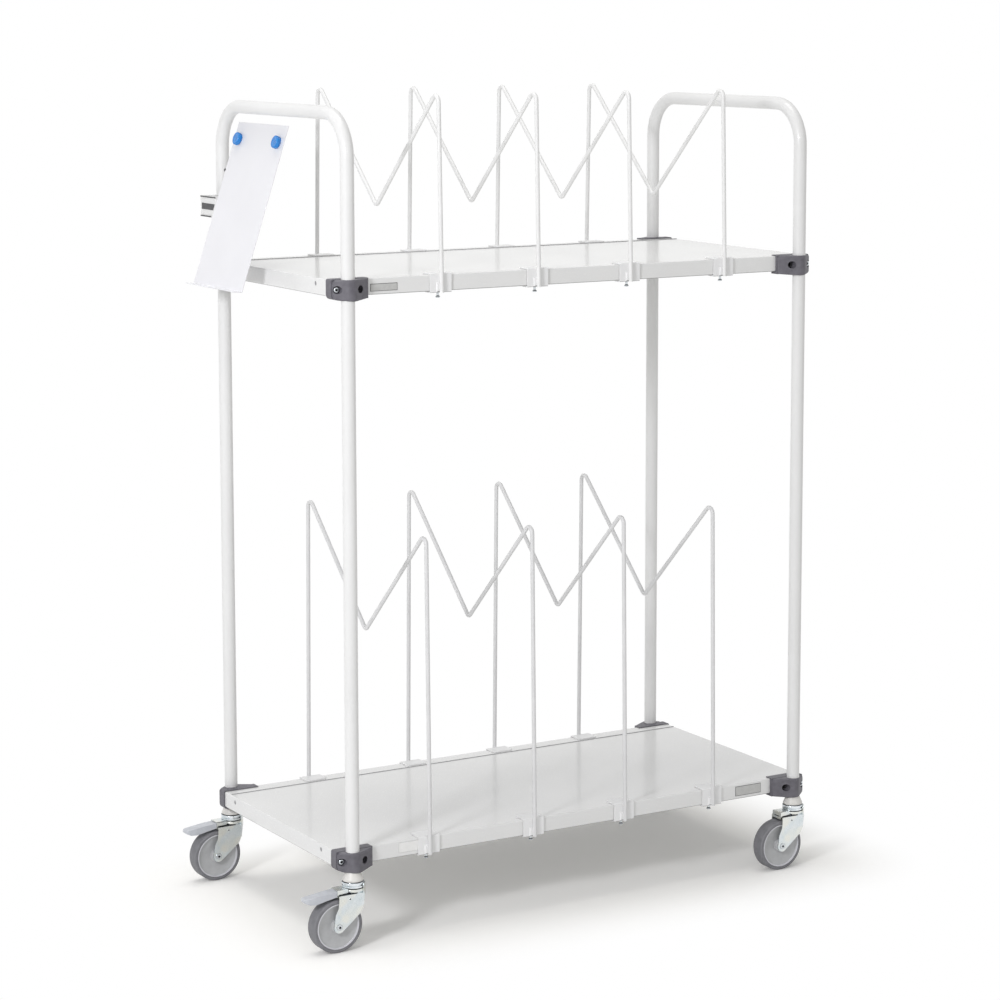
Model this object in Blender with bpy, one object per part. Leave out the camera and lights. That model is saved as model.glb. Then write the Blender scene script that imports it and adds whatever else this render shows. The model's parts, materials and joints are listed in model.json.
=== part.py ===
"""Box trolley: two tray shelves between tubular end frames, with wire dividers, four casters and a
document holder on the rear left post.

Lengths are metres. +Z is up, +X runs along the trolley to its right end and +Y to the rear.
Every piece hangs from one empty that stands on the floor midway between the four posts.
"""

import math

import bmesh
import bpy
from mathutils import Matrix, Vector

# Clearances
FIT_GAP = 0.0003
RUNNING_GAP = 0.0004
RACE_GAP = 0.0009
CUT_OVERRUN = 0.010
CUT_THROUGH = 0.300
MERGE_DISTANCE = 0.00001
FLAT_ANGLE = math.radians(0.5)
SHARP_ANGLE = math.radians(35)
FULL_TURN = math.tau

# End frames, bent from one tube each
POST_INSIDE_SHELF_END = 0.027
POST_OUTSIDE_SHELF_EDGE = 0.016
TUBE_DIAMETER = 0.0254
TUBE_WALL = 0.0015
TUBE_SIDES = 12
FRAME_HEIGHT = 1.5483
FRAME_BEND_RADIUS = 0.080
FRAME_BEND_STEPS = 4

# Shelves, folded from sheet
SHELF_LENGTH = 1.054
SHELF_DEPTH = 0.490
SHELF_FLANGE = 0.0305
SHELF_RETURN = 0.020
SHELF_SHEET = 0.0013
SHELF_BEND_RADIUS = 0.0022
SHELF_BEND_STEPS = 1
LOWER_SHELF_TOP = 0.1823
UPPER_SHELF_BELOW_RAIL = 0.3104
SHELF_SEAM_FROM_EDGE = 0.0354
SHELF_SEAM_WIDTH = 0.0016
SHELF_SEAM_DEPTH = 0.0006
END_HOLE_DIAMETER = 0.0055
END_HOLE_FROM_CORNER = 0.059
END_HOLE_BELOW_TOP = 0.0085
END_HOLE_SIDES = 8

# Corner clamps, moulded in two halves that close on the post
CLAMP_ABOVE_SHELF = 0.0020
CLAMP_HEIGHT = 0.0373
SHELL_BELOW_SEAT_TOP = 0.0007
CLAMP_SPLIT_FROM_POST = 0.0087
SEAT_DEPTH = 0.0203
SEAT_INBOARD = 0.0460
SEAT_END_WALL = 0.0027
SHELL_EDGE_RADIUS = 0.0030
SHELL_EDGE_STEPS = 1
SHELL_ARC_STEPS = 12
SHELL_BODY_RADIUS = 0.0160
SHELL_BODY_INBOARD = 0.0030
SHELL_OUTBOARD_RADIUS = 0.0100
SHELL_OUTBOARD_REACH = 0.0185
SHELL_OUTBOARD_SETBACK = 0.0090
SHELL_INBOARD_RADIUS = 0.0040
SHELL_INBOARD_REACH = 0.0415
SHELL_INBOARD_SETBACK = 0.0095

# Holes for the clamp screws
SCREW_FROM_POST = 0.02175
SCREW_SHANK_DIAMETER = 0.0060
SCREW_SIDES = 6
RECESS_DIAMETER = 0.0145
RECESS_FLOOR = 0.0025
RECESS_SIDES = 8

# Wire dividers, each an M of round bar between two channel brackets
WIRE_DIAMETER = 0.0080
WIRE_SIDES = 6
APEX_RADIUS = 0.0115
APEX_STEPS = 4
VALLEY_RADIUS = 0.0080
VALLEY_STEPS = 2
APEX_FROM_SHELF_EDGE = 0.0139
DIVIDER_PEAK = {"lower": 0.5690, "upper": 0.3295}
DIVIDER_VALLEY = {"lower": 0.3480, "upper": 0.1107}
DIVIDER_SHARES_OF_LENGTH = {
    "lower": (-0.3150, -0.0977, 0.0977, 0.2951),
    "upper": (-0.2865, -0.0892, 0.1053, 0.3112),
}
WELD_OVERLAP = 0.0009
BRACKET_WIDTH = 0.045
BRACKET_SHEET = 0.0022
BRACKET_SLACK = 0.0015
BRACKET_TOP_LIP = 0.0340
BRACKET_BOTTOM_LIP = 0.0200
BRACKET_CORNER_RADIUS = 0.0060
BRACKET_BEND_RADIUS = 0.0015
BRACKET_BEVEL_STEPS = 1
DIVIDER_SCREW_SETBACK = 0.0085
DIVIDER_SCREW_DIAMETER = 0.0050
DIVIDER_SCREW_SIDES = 6

# Wheels
WHEEL_DIAMETER = 0.100
TYRE_WIDTH = 0.029
TYRE_THICKNESS = 0.0070
TYRE_SHOULDER = 0.0035
TYRE_SHOULDER_STEPS = 1
HUB_RIM_THICKNESS = 0.0028
HUB_RIM_WIDTH = 0.0286
HUB_DISC_WIDTH = 0.0200
HUB_DISC_DISH = 0.0030
HUB_BOSS_DIAMETER = 0.0260
WHEEL_STEPS = 18
AXLE_DIAMETER = 0.0090
AXLE_HEAD_DIAMETER = 0.0120
AXLE_HEAD_HEIGHT = 0.0012
AXLE_SIDES = 8

# Caster forks
CASTER_TRAIL = 0.0375
CHEEK_GAP = 0.0330
CHEEK_SHEET = 0.0025
CHEEK_BOSS_RADIUS = 0.0110
CHEEK_BOSS_STEPS = 6
CHEEK_BOSS_FROM = math.radians(-42)
CHEEK_BOSS_TO = math.radians(-190)
CHEEK_FRONT_TOP = (0.0150, 0.1080)
CHEEK_FRONT_UPPER = (0.0130, 0.0850)
CHEEK_FRONT_LOWER = (0.0065, 0.0715)
CHEEK_REAR_LOWER = (-0.0452, 0.0730)
CHEEK_REAR_UPPER = (-0.0385, 0.0895)
CHEEK_REAR_TOP = (-0.0375, 0.1080)
CHEEK_SHOULDER = (-0.0120, 0.1105)
CROWN_BOTTOM = 0.1040
CROWN_TOP = 0.1085
CROWN_REAR = -0.0200
CROWN_FRONT = 0.0150
RACE_RADIUS = 0.0208
RACE_NECK_RADIUS = 0.0180
RACE_BALL_RADIUS = 0.0192
LOWER_RACE_BOTTOM = 0.1105
LOWER_RACE_TOP = 0.1172
UPPER_RACE_TOP = 0.1290
RACE_GROOVE = 0.0015
RACE_STEPS = 12
SHROUD_RADIUS = 0.0232
SHROUD_ROOT_RADIUS = 0.0160
SHROUD_TOP = 0.1265
SHROUD_HALF_ANGLE = math.radians(58)
SHROUD_STEPS = 5
HOOD_REAR = -0.0390
HOOD_FRONT = -0.0170
HOOD_WIDTH = 0.0282
HOOD_SHEET = 0.0016
HOOD_TOP = 0.1184
STUD_DIAMETER = 0.0100
STUD_INSERT = 0.020
STUD_PROUD = 0.0010
STUD_SIDES = 10
LOCK_NUT_DIAMETER = 0.0160
LOCK_NUT_HEIGHT = 0.0060
LOCK_NUT_SIDES = 6

# Expander plug that holds each caster in its post
PLUG_INSERT = 0.045
CONE_TOP_DIAMETER = 0.0260
CONE_BOTTOM_DIAMETER = 0.0385
CONE_RIM = 0.0045
PLUG_STEPS = 12

# Brake pedals on the two left casters, side view from the swivel axis
PEDAL_PIVOT = (-0.0155, 0.1004)
PEDAL_PIN_DIAMETER = 0.0036
PEDAL_PIN_SIDES = 6
PEDAL_PIN_PROUD = 0.0006
PEDAL_WIDTH = 0.0240
PEDAL_SKIN = 0.0022
PEDAL_TIP_RADIUS = 0.0085
PEDAL_TIP_STEPS = 3
PEDAL_EYE = ((-0.0110, 0.0970), (-0.0110, 0.1034), (-0.0212, 0.1034))
PEDAL_TOP = ((-0.0232, 0.1130), (-0.0390, 0.1158), (-0.0600, 0.1142), (-0.0820, 0.1112))
PEDAL_TIP = ((-0.1000, 0.1088), (-0.1040, 0.1070), (-0.1030, 0.1030))
PEDAL_UNDERSIDE = ((-0.0930, 0.0985), (-0.0800, 0.0975), (-0.0620, 0.1012), (-0.0400, 0.1051),
                   (-0.0208, 0.0995), (-0.0135, 0.0961))

# Document holder on the rear left post
HOLDER_BELOW_RAIL = 0.2063
HOLDER_STRIP = 0.040
HOLDER_SHEET = 0.0020
HOLDER_FRONT_FROM_POST = 0.0400
HOLDER_REAR_FROM_POST = 0.0165
HOLDER_WEB_FROM_POST = 0.0165
SLEEVE_WALL = 0.0012
HOLDER_SCREW_FROM_POST = 0.0205
HOLDER_SCREW_DIAMETER = 0.0050
HOLDER_SCREW_HEAD_DIAMETER = 0.0100
HOLDER_SCREW_HEAD_HEIGHT = 0.0035
PANEL_WIDTH = 0.214
PANEL_LENGTH = 0.321
PANEL_SHEET = 0.0015
PANEL_TILT = math.radians(18.2)
PANEL_FOOT_FROM_POST = 0.0900
PANEL_FOOT_BELOW_HOLDER = 0.142
PANEL_EDGE_FROM_POST = 0.055
LIP_DEPTH = 0.0177
LIP_RISE = math.radians(5)
TAB_LENGTH = 0.105
TAB_OVERLAP = 0.008
MAGNET_DIAMETER = 0.0245
MAGNET_HEIGHT = 0.0090
MAGNET_CHAMFER = 0.0015
MAGNET_FROM_SIDE = 0.0235
MAGNET_FROM_TOP = 0.034
MAGNET_SIDES = 14

# Values that follow from the sizes above
HALF_LENGTH = SHELF_LENGTH / 2 - POST_INSIDE_SHELF_END
HALF_DEPTH = SHELF_DEPTH / 2 + POST_OUTSIDE_SHELF_EDGE
TUBE_RADIUS = TUBE_DIAMETER / 2
WHEEL_RADIUS = WHEEL_DIAMETER / 2
SHELF_TOPS = {"lower": LOWER_SHELF_TOP, "upper": FRAME_HEIGHT - UPPER_SHELF_BELOW_RAIL}
HOLDER_HEIGHT = FRAME_HEIGHT - HOLDER_BELOW_RAIL
CLAMP_BOTTOM = CLAMP_ABOVE_SHELF - CLAMP_HEIGHT
CLAMP_MIDDLE = CLAMP_ABOVE_SHELF - CLAMP_HEIGHT / 2
SEAT_OUTBOARD = POST_INSIDE_SHELF_END + FIT_GAP + SEAT_END_WALL
POST_FOOT = LOWER_SHELF_TOP + CLAMP_BOTTOM
RECESS_BOTTOM = -CLAMP_SPLIT_FROM_POST + RECESS_FLOOR
BRACKET_FACE = SHELF_DEPTH / 2 + BRACKET_SLACK + BRACKET_SHEET
LEG_FOOT = BRACKET_FACE + WIRE_DIAMETER / 2 - WELD_OVERLAP
BRACKET_BOTTOM = -SHELF_FLANGE - FIT_GAP - BRACKET_SHEET
LIP_REACH = HALF_LENGTH + PANEL_FOOT_FROM_POST + LIP_DEPTH * math.cos(LIP_RISE)
CLAMP_REACH = HALF_LENGTH + SEAT_OUTBOARD
ORIGIN_SHIFT = (LIP_REACH - CLAMP_REACH) / 2
CORNERS = {
    "front_left": (-1, -1),
    "front_right": (1, -1),
    "rear_left": (-1, 1),
    "rear_right": (1, 1),
}


def clear_scene():
    """Remove whatever the scene holds, so the trolley is built on its own."""
    for item in list(bpy.data.objects):
        bpy.data.objects.remove(item, do_unlink=True)


def finish(name, colour, roughness, metallic=0):
    """Return a plain surface finish."""
    surface = bpy.data.materials.new(name)
    surface.use_nodes = True
    shader = surface.node_tree.nodes["Principled BSDF"]
    shader.inputs["Base Color"].default_value = (*colour, 1)
    shader.inputs["Roughness"].default_value = roughness
    shader.inputs["Metallic"].default_value = metallic
    surface.diffuse_color = (*colour, 1)
    return surface


def to_mesh(bm, name):
    """Turn the working mesh into mesh data with clean, outward faces."""
    bmesh.ops.remove_doubles(bm, verts=bm.verts, dist=MERGE_DISTANCE)
    bmesh.ops.recalc_face_normals(bm, faces=bm.faces)
    mesh = bpy.data.meshes.new(name)
    bm.to_mesh(mesh)
    bm.free()
    return mesh


def block(low, high):
    """Return a box between two corners."""
    low, high = Vector(low), Vector(high)
    bm = bmesh.new()
    bmesh.ops.create_cube(bm, size=1)
    bmesh.ops.scale(bm, vec=high - low, verts=bm.verts)
    bmesh.ops.translate(bm, vec=(low + high) / 2, verts=bm.verts)
    return bm


def prism(outline, thickness):
    """Return a flat outline of 3-D points pushed along a vector."""
    bm = bmesh.new()
    face = bm.faces.new([bm.verts.new(point) for point in outline])
    grown = bmesh.ops.extrude_face_region(bm, geom=[face])
    moved = [item for item in grown["geom"] if isinstance(item, bmesh.types.BMVert)]
    bmesh.ops.translate(bm, vec=Vector(thickness), verts=moved)
    return bm


def turned(profile, steps, closed=False):
    """Return a profile of (radius, height) points turned round the Z axis."""
    bm = bmesh.new()
    verts = [bm.verts.new((radius, 0, height)) for radius, height in profile]
    edges = [bm.edges.new(pair) for pair in zip(verts, verts[1:])]
    if closed:
        edges.append(bm.edges.new((verts[-1], verts[0])))
    bmesh.ops.spin(bm, geom=[*verts, *edges], axis=(0, 0, 1), cent=(0, 0, 0), angle=FULL_TURN,
                   steps=steps, use_merge=True)
    return bm


def rod(radius, low, high, sides):
    """Return a solid round bar on the Z axis between two heights."""
    return turned(((0, low), (radius, low), (radius, high), (0, high)), sides)


def turn_to(bm, axis, place=(0, 0, 0)):
    """Lay a body made on the Z axis along another axis and move it to its place."""
    spin = Vector((0, 0, 1)).rotation_difference(Vector(axis)).to_matrix().to_4x4()
    bmesh.ops.transform(bm, matrix=Matrix.Translation(place) @ spin, verts=bm.verts)
    return bm


def swept(path, radius, sides, wall=0):
    """Return round bar, or tube if it has a wall, along a path of (y, z) points."""
    points = [Vector((0, y, z)) for y, z in path]
    skins = (radius, radius - wall) if wall else (radius,)
    bm = bmesh.new()
    rings = [[swept_ring(bm, points, i, skin, sides) for i in range(len(points))] for skin in skins]
    for skin in rings:
        for ring, following in zip(skin, skin[1:]):
            bridge(bm, ring, following)
    if wall:
        bridge(bm, rings[0][0], rings[1][0])
        bridge(bm, rings[0][-1], rings[1][-1])
    else:
        bm.faces.new(rings[0][0])
        bm.faces.new(rings[0][-1])
    return bm


def swept_ring(bm, points, index, radius, sides):
    """Return one ring of vertices square to a path that lies in the YZ plane."""
    before = points[max(index - 1, 0)]
    after = points[min(index + 1, len(points) - 1)]
    along = (after - before).normalized()
    across = Vector((1, 0, 0))
    up = along.cross(across)
    angles = [FULL_TURN * (i + 1 / 2) / sides for i in range(sides)]
    return [bm.verts.new(points[index] + radius * (math.cos(a) * across + math.sin(a) * up))
            for a in angles]


def bridge(bm, ring, other):
    """Join two rings of the same count with a band of faces."""
    for i in range(len(ring)):
        bm.faces.new((ring[i - 1], ring[i], other[i], other[i - 1]))


def arc(centre, radius, start, end, steps):
    """Return points of an arc in a plane, both ends included."""
    angles = [start + (end - start) * i / steps for i in range(steps + 1)]
    return [(centre[0] + radius * math.cos(a), centre[1] + radius * math.sin(a)) for a in angles]


def rounded(bm, radius, steps, chosen):
    """Round the edges that the test picks by the positions of their two ends."""
    edges = [edge for edge in bm.edges if chosen(edge.verts[0].co, edge.verts[1].co)]
    bmesh.ops.bevel(bm, geom=edges, offset=radius, segments=steps, affect="EDGES", profile=0.5,
                    clamp_overlap=True)
    return bm


def joined(base, tools, operation):
    """Unite the base body with the tools, or cut them from it, in turn."""
    body = bpy.data.objects.new("work", to_mesh(base, "work"))
    helpers = [bpy.data.objects.new("tool", to_mesh(tool, "tool")) for tool in tools]
    for item in (body, *helpers):
        bpy.context.scene.collection.objects.link(item)
    for helper in helpers:
        step = body.modifiers.new(operation, "BOOLEAN")
        step.operation = operation
        step.solver = "EXACT"
        step.object = helper
    graph = bpy.context.evaluated_depsgraph_get()
    bm = bmesh.new()
    bm.from_object(body, graph)
    for item in (body, *helpers):
        bpy.data.objects.remove(item, do_unlink=True)
    bmesh.ops.remove_doubles(bm, verts=bm.verts, dist=MERGE_DISTANCE)
    bmesh.ops.dissolve_limit(bm, angle_limit=FLAT_ANGLE, verts=bm.verts, edges=bm.edges)
    return bm


def cut(base, tools):
    """Cut each tool from the base."""
    return joined(base, tools, "DIFFERENCE")


def united(base, others):
    """Weld each other body to the base."""
    return joined(base, others, "UNION")


def mirrored(bm):
    """Return the other hand of a body, mirrored along X."""
    bmesh.ops.scale(bm, vec=(-1, 1, 1), verts=bm.verts)
    bmesh.ops.reverse_faces(bm, faces=bm.faces)
    return bm


def put(name, mesh, surface, parent, place=(0, 0, 0), turn=0):
    """Place one named piece under its parent, shaded smooth but for its sharp edges."""
    mesh.materials.clear()
    mesh.materials.append(surface)
    mesh.shade_smooth()
    mesh.set_sharp_from_angle(angle=SHARP_ANGLE)
    piece = bpy.data.objects.new(name, mesh)
    bpy.context.scene.collection.objects.link(piece)
    piece.parent = parent
    piece.location = place
    piece.rotation_euler = (0, 0, turn)
    return piece


def empty(name, parent, place):
    """Place an axis point that other pieces hang from."""
    point = bpy.data.objects.new(name, None)
    bpy.context.scene.collection.objects.link(point)
    point.parent = parent
    point.location = place
    return point


def end_frame():
    """One tube bent to an upside-down U, open at both feet."""
    rail = FRAME_HEIGHT - TUBE_RADIUS
    turn = (HALF_DEPTH - FRAME_BEND_RADIUS, rail - FRAME_BEND_RADIUS)
    near = arc(turn, FRAME_BEND_RADIUS, 0, math.pi / 2, FRAME_BEND_STEPS)
    far = [(-y, z) for y, z in reversed(near)]
    path = [(HALF_DEPTH, POST_FOOT), *near, *far, (-HALF_DEPTH, POST_FOOT)]
    return to_mesh(swept(path, TUBE_RADIUS, TUBE_SIDES, TUBE_WALL), "end_frame")


def shelf():
    """A tray turned face down: top sheet, four flanges and the return fold inside each."""
    x, y = SHELF_LENGTH / 2, SHELF_DEPTH / 2
    tray = block((-x, -y, -SHELF_FLANGE), (x, y, 0))
    tray = rounded(tray, SHELF_BEND_RADIUS, SHELF_BEND_STEPS, shelf_outer_edge)
    sheet = SHELF_SHEET
    inside = block((sheet - x, sheet - y, sheet - SHELF_FLANGE), (x - sheet, y - sheet, -sheet))
    fold = sheet + SHELF_RETURN
    mouth = block((fold - x, fold - y, -SHELF_FLANGE - sheet), (x - fold, y - fold, -sheet - sheet))
    seam_y = y - SHELF_SEAM_FROM_EDGE
    seam = block((-x - CUT_OVERRUN, seam_y - SHELF_SEAM_WIDTH / 2, -SHELF_SEAM_DEPTH),
                 (x + CUT_OVERRUN, seam_y + SHELF_SEAM_WIDTH / 2, SHELF_SEAM_DEPTH))
    holes = [end_hole(side, y - END_HOLE_FROM_CORNER) for side in (-1, 1)]
    holes += [end_hole(side, END_HOLE_FROM_CORNER - y) for side in (-1, 1)]
    return to_mesh(cut(tray, [inside, mouth, seam, *holes]), "shelf")


def shelf_outer_edge(a, b):
    """Pick the top edges and the four corner folds of the tray."""
    upright = abs(a.z - b.z) > SHELF_SHEET
    on_top = min(a.z, b.z) > -SHELF_SHEET
    return upright or on_top


def end_hole(side, y):
    """The drill for one hole in an end flange."""
    drill = rod(END_HOLE_DIAMETER / 2, -CUT_OVERRUN, CUT_OVERRUN, END_HOLE_SIDES)
    return turn_to(drill, (side, 0, 0), (side * SHELF_LENGTH / 2, y, -END_HOLE_BELOW_TOP))


def clamp_cutters(screw_diameter):
    """The post bore and the two screw holes that both clamp halves share."""
    bore = swept([(0, -CLAMP_HEIGHT - CUT_OVERRUN), (0, CLAMP_HEIGHT)], TUBE_RADIUS + FIT_GAP,
                 TUBE_SIDES)
    cutters = [bore]
    for side in (-1, 1):
        drill = rod(screw_diameter / 2, -CUT_THROUGH, CUT_OVERRUN, SCREW_SIDES)
        cutters.append(turn_to(drill, (0, 1, 0), (side * SCREW_FROM_POST, 0, CLAMP_MIDDLE)))
    return cutters


def clamp_seat():
    """Inner clamp half: a wall on the flange with lips over and under the tray and round its end."""
    top = CLAMP_ABOVE_SHELF
    split = -CLAMP_SPLIT_FROM_POST
    seat = block((-SEAT_INBOARD, split - SEAT_DEPTH, CLAMP_BOTTOM), (SEAT_OUTBOARD, split, top))
    room = block((-CUT_THROUGH, -CUT_THROUGH, -SHELF_FLANGE - FIT_GAP),
                 (POST_INSIDE_SHELF_END + FIT_GAP, FIT_GAP - POST_OUTSIDE_SHELF_EDGE, FIT_GAP))
    return cut(seat, [room, *clamp_cutters(SCREW_SHANK_DIAMETER + 2 * FIT_GAP)])


def clamp_shell():
    """Outer clamp half: a half moon drawn tightly round three circles, with rounded rims."""
    circles = (
        (-SHELL_BODY_INBOARD, 0, SHELL_BODY_RADIUS),
        (SHELL_OUTBOARD_REACH, -SHELL_OUTBOARD_SETBACK, SHELL_OUTBOARD_RADIUS),
        (-SHELL_INBOARD_REACH, -SHELL_INBOARD_SETBACK, SHELL_INBOARD_RADIUS),
    )
    top = CLAMP_ABOVE_SHELF - SHELL_BELOW_SEAT_TOP
    bm = bmesh.new()
    for x, y, radius in circles:
        for inset, height in shell_levels(top):
            points = arc((x, y), radius - inset, 0, FULL_TURN, SHELL_ARC_STEPS)
            for px, py in points[1:]:
                bm.verts.new((px, py, height))
    hull = bmesh.ops.convex_hull(bm, input=bm.verts)
    spare = [item for item in hull["geom_interior"] + hull["geom_unused"]
             if isinstance(item, bmesh.types.BMVert)]
    bmesh.ops.delete(bm, geom=list(set(spare)), context="VERTS")
    bmesh.ops.dissolve_limit(bm, angle_limit=FLAT_ANGLE, verts=bm.verts, edges=bm.edges)
    inner_side = block((-CUT_THROUGH, -CUT_THROUGH, -CUT_THROUGH),
                       (CUT_THROUGH, FIT_GAP - CLAMP_SPLIT_FROM_POST, CUT_THROUGH))
    recesses = []
    for side in (-1, 1):
        recess = rod(RECESS_DIAMETER / 2, RECESS_BOTTOM, CUT_THROUGH, RECESS_SIDES)
        recesses.append(turn_to(recess, (0, 1, 0), (side * SCREW_FROM_POST, 0, CLAMP_MIDDLE)))
    holes = clamp_cutters(SCREW_SHANK_DIAMETER + 2 * FIT_GAP)
    return cut(bm, [inner_side, *holes, *recesses])


def shell_levels(top):
    """Inset and height of each ring of the shell's rounded top and bottom rims."""
    levels = []
    for i in range(SHELL_EDGE_STEPS + 1):
        angle = math.pi / 2 * i / SHELL_EDGE_STEPS
        inset = SHELL_EDGE_RADIUS * (1 - math.sin(angle))
        drop = SHELL_EDGE_RADIUS * (1 - math.cos(angle))
        levels.append((inset, top - drop))
        levels.append((inset, CLAMP_BOTTOM + drop))
    return levels


def divider_path(level):
    """Half of the wire's route, from a bracket over the apex to the valley, as (y, z) points."""
    wire = WIRE_DIAMETER / 2
    apex = Vector((SHELF_DEPTH / 2 - APEX_FROM_SHELF_EDGE, DIVIDER_PEAK[level] - wire - APEX_RADIUS))
    valley = Vector((0, DIVIDER_VALLEY[level] + wire + VALLEY_RADIUS))
    foot = Vector((LEG_FOOT, BRACKET_BOTTOM))
    leg = foot - apex
    leave_leg = math.atan2(leg.y, leg.x) + math.acos(APEX_RADIUS / leg.length)
    slope = valley - apex
    heading = math.atan2(slope.y, slope.x) % FULL_TURN
    leave_apex = heading - math.acos((APEX_RADIUS + VALLEY_RADIUS) / slope.length)
    over = arc(apex, APEX_RADIUS, leave_leg, leave_apex, APEX_STEPS)
    under = arc(valley, VALLEY_RADIUS, leave_apex - math.pi, -math.pi / 2, VALLEY_STEPS)
    return [tuple(foot), *over, *under]


def divider_bracket():
    """A channel of sheet that hooks over the tray's front flange; its wire is welded in front."""
    face, sheet = -BRACKET_FACE, BRACKET_SHEET
    top = FIT_GAP + sheet
    inner_low = -SHELF_FLANGE - FIT_GAP
    half = BRACKET_WIDTH / 2
    outline = (
        (face, top),
        (face + BRACKET_TOP_LIP, top),
        (face + BRACKET_TOP_LIP, FIT_GAP),
        (face + sheet, FIT_GAP),
        (face + sheet, inner_low),
        (face + BRACKET_BOTTOM_LIP, inner_low),
        (face + BRACKET_BOTTOM_LIP, BRACKET_BOTTOM),
        (face, BRACKET_BOTTOM),
    )
    bracket = prism([(-half, y, z) for y, z in outline], (BRACKET_WIDTH, 0, 0))
    bracket = rounded(bracket, BRACKET_BEND_RADIUS, BRACKET_BEVEL_STEPS, bracket_fold)
    bracket = rounded(bracket, BRACKET_CORNER_RADIUS, BRACKET_BEVEL_STEPS, bracket_lip_corner)
    hole = rod(DIVIDER_SCREW_DIAMETER / 2 + FIT_GAP, BRACKET_BOTTOM - CUT_OVERRUN,
               inner_low + sheet, DIVIDER_SCREW_SIDES)
    screw_y = DIVIDER_SCREW_SETBACK - SHELF_DEPTH / 2
    return cut(bracket, [turn_to(hole, (0, 0, 1), (0, screw_y, 0))])


def bracket_fold(a, b):
    """Pick the two outer folds of the channel."""
    on_face = max(a.y, b.y) < -BRACKET_FACE + BRACKET_BEND_RADIUS
    return on_face and abs(a.x - b.x) > BRACKET_SHEET


def bracket_lip_corner(a, b):
    """Pick the two free corners of the lip that lies on the tray."""
    at_tip = min(a.y, b.y) > BRACKET_TOP_LIP - BRACKET_FACE - BRACKET_SHEET
    return at_tip and abs(a.z - b.z) > BRACKET_SHEET / 2


def divider(level):
    """The M of wire welded to a bracket at the front and one at the rear."""
    half = divider_path(level)
    path = half + [(-y, z) for y, z in reversed(half[:-1])]
    wire = swept(path, WIRE_DIAMETER / 2, WIRE_SIDES)
    front = divider_bracket()
    rear = divider_bracket()
    bmesh.ops.rotate(rear, cent=(0, 0, 0), matrix=Matrix.Rotation(math.pi, 3, "Z"), verts=rear.verts)
    return to_mesh(united(wire, [front, rear]), "divider_" + level)


def caster_plug():
    """Expander plug that sits in the foot of the post, with the cone below it and a stud bore."""
    fit = (TUBE_RADIUS - TUBE_WALL) * math.cos(math.pi / TUBE_SIDES) - FIT_GAP
    neck, rim = CONE_TOP_DIAMETER / 2, CONE_BOTTOM_DIAMETER / 2
    bore = STUD_DIAMETER / 2 + FIT_GAP
    low, collar = UPPER_RACE_TOP + FIT_GAP, POST_FOOT - FIT_GAP
    profile = ((bore, low), (rim, low), (rim, low + CONE_RIM), (neck, collar), (fit, collar),
               (fit, POST_FOOT + PLUG_INSERT), (bore, POST_FOOT + PLUG_INSERT))
    return to_mesh(turned(profile, PLUG_STEPS, True), "caster_plug")


def caster_king_pin():
    """The stud that the fork turns on, with the upper ball race and the lock nut."""
    stud = STUD_DIAMETER / 2
    nut_top = CROWN_BOTTOM - FIT_GAP
    race_low = LOWER_RACE_TOP + FIT_GAP
    stud_top = POST_FOOT + STUD_INSERT
    body = turned((
        (0, nut_top - LOCK_NUT_HEIGHT - STUD_PROUD),
        (stud, nut_top - LOCK_NUT_HEIGHT - STUD_PROUD),
        (stud, race_low),
        (RACE_BALL_RADIUS, race_low),
        (RACE_RADIUS, race_low + RACE_GROOVE),
        (RACE_RADIUS, UPPER_RACE_TOP - RACE_GROOVE),
        (RACE_BALL_RADIUS, UPPER_RACE_TOP),
        (stud, UPPER_RACE_TOP),
        (stud, stud_top),
        (0, stud_top),
    ), RACE_STEPS)
    nut = rod(LOCK_NUT_DIAMETER / 2, nut_top - LOCK_NUT_HEIGHT, nut_top, LOCK_NUT_SIDES)
    return to_mesh(united(body, [nut]), "caster_king_pin")


def cheek_outline():
    """Side view of a fork cheek, as (x, z) from the swivel axis."""
    boss = arc((-CASTER_TRAIL, WHEEL_RADIUS), CHEEK_BOSS_RADIUS, CHEEK_BOSS_FROM, CHEEK_BOSS_TO,
               CHEEK_BOSS_STEPS)
    return [CHEEK_FRONT_TOP, CHEEK_FRONT_UPPER, CHEEK_FRONT_LOWER, *boss, CHEEK_REAR_LOWER,
            CHEEK_REAR_UPPER, CHEEK_REAR_TOP, CHEEK_SHOULDER]


def caster_fork(braked):
    """Pressed fork: two cheeks, crown, lower ball race, front shroud, rear hood and pin."""
    inner = CHEEK_GAP / 2
    outer = inner + CHEEK_SHEET
    cheeks = [prism([(x, side * inner, z) for x, z in cheek_outline()], (0, side * CHEEK_SHEET, 0))
              for side in (-1, 1)]
    crown = block((CROWN_REAR, -outer, CROWN_BOTTOM), (CROWN_FRONT, outer, CROWN_TOP))
    fork = united(cheeks[0], [cheeks[1], crown, lower_race(), shroud(), hood(braked),
                              pedal_pin(outer)])
    stud_hole = rod(STUD_DIAMETER / 2 + RUNNING_GAP, CROWN_BOTTOM - CUT_OVERRUN,
                    LOWER_RACE_TOP + CUT_OVERRUN, STUD_SIDES)
    axle_hole = turn_to(rod(AXLE_DIAMETER / 2 + FIT_GAP, -CUT_THROUGH, CUT_THROUGH, AXLE_SIDES),
                        (0, 1, 0), (-CASTER_TRAIL, 0, WHEEL_RADIUS))
    return to_mesh(cut(fork, [stud_hole, axle_hole]), "caster_fork")


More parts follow.
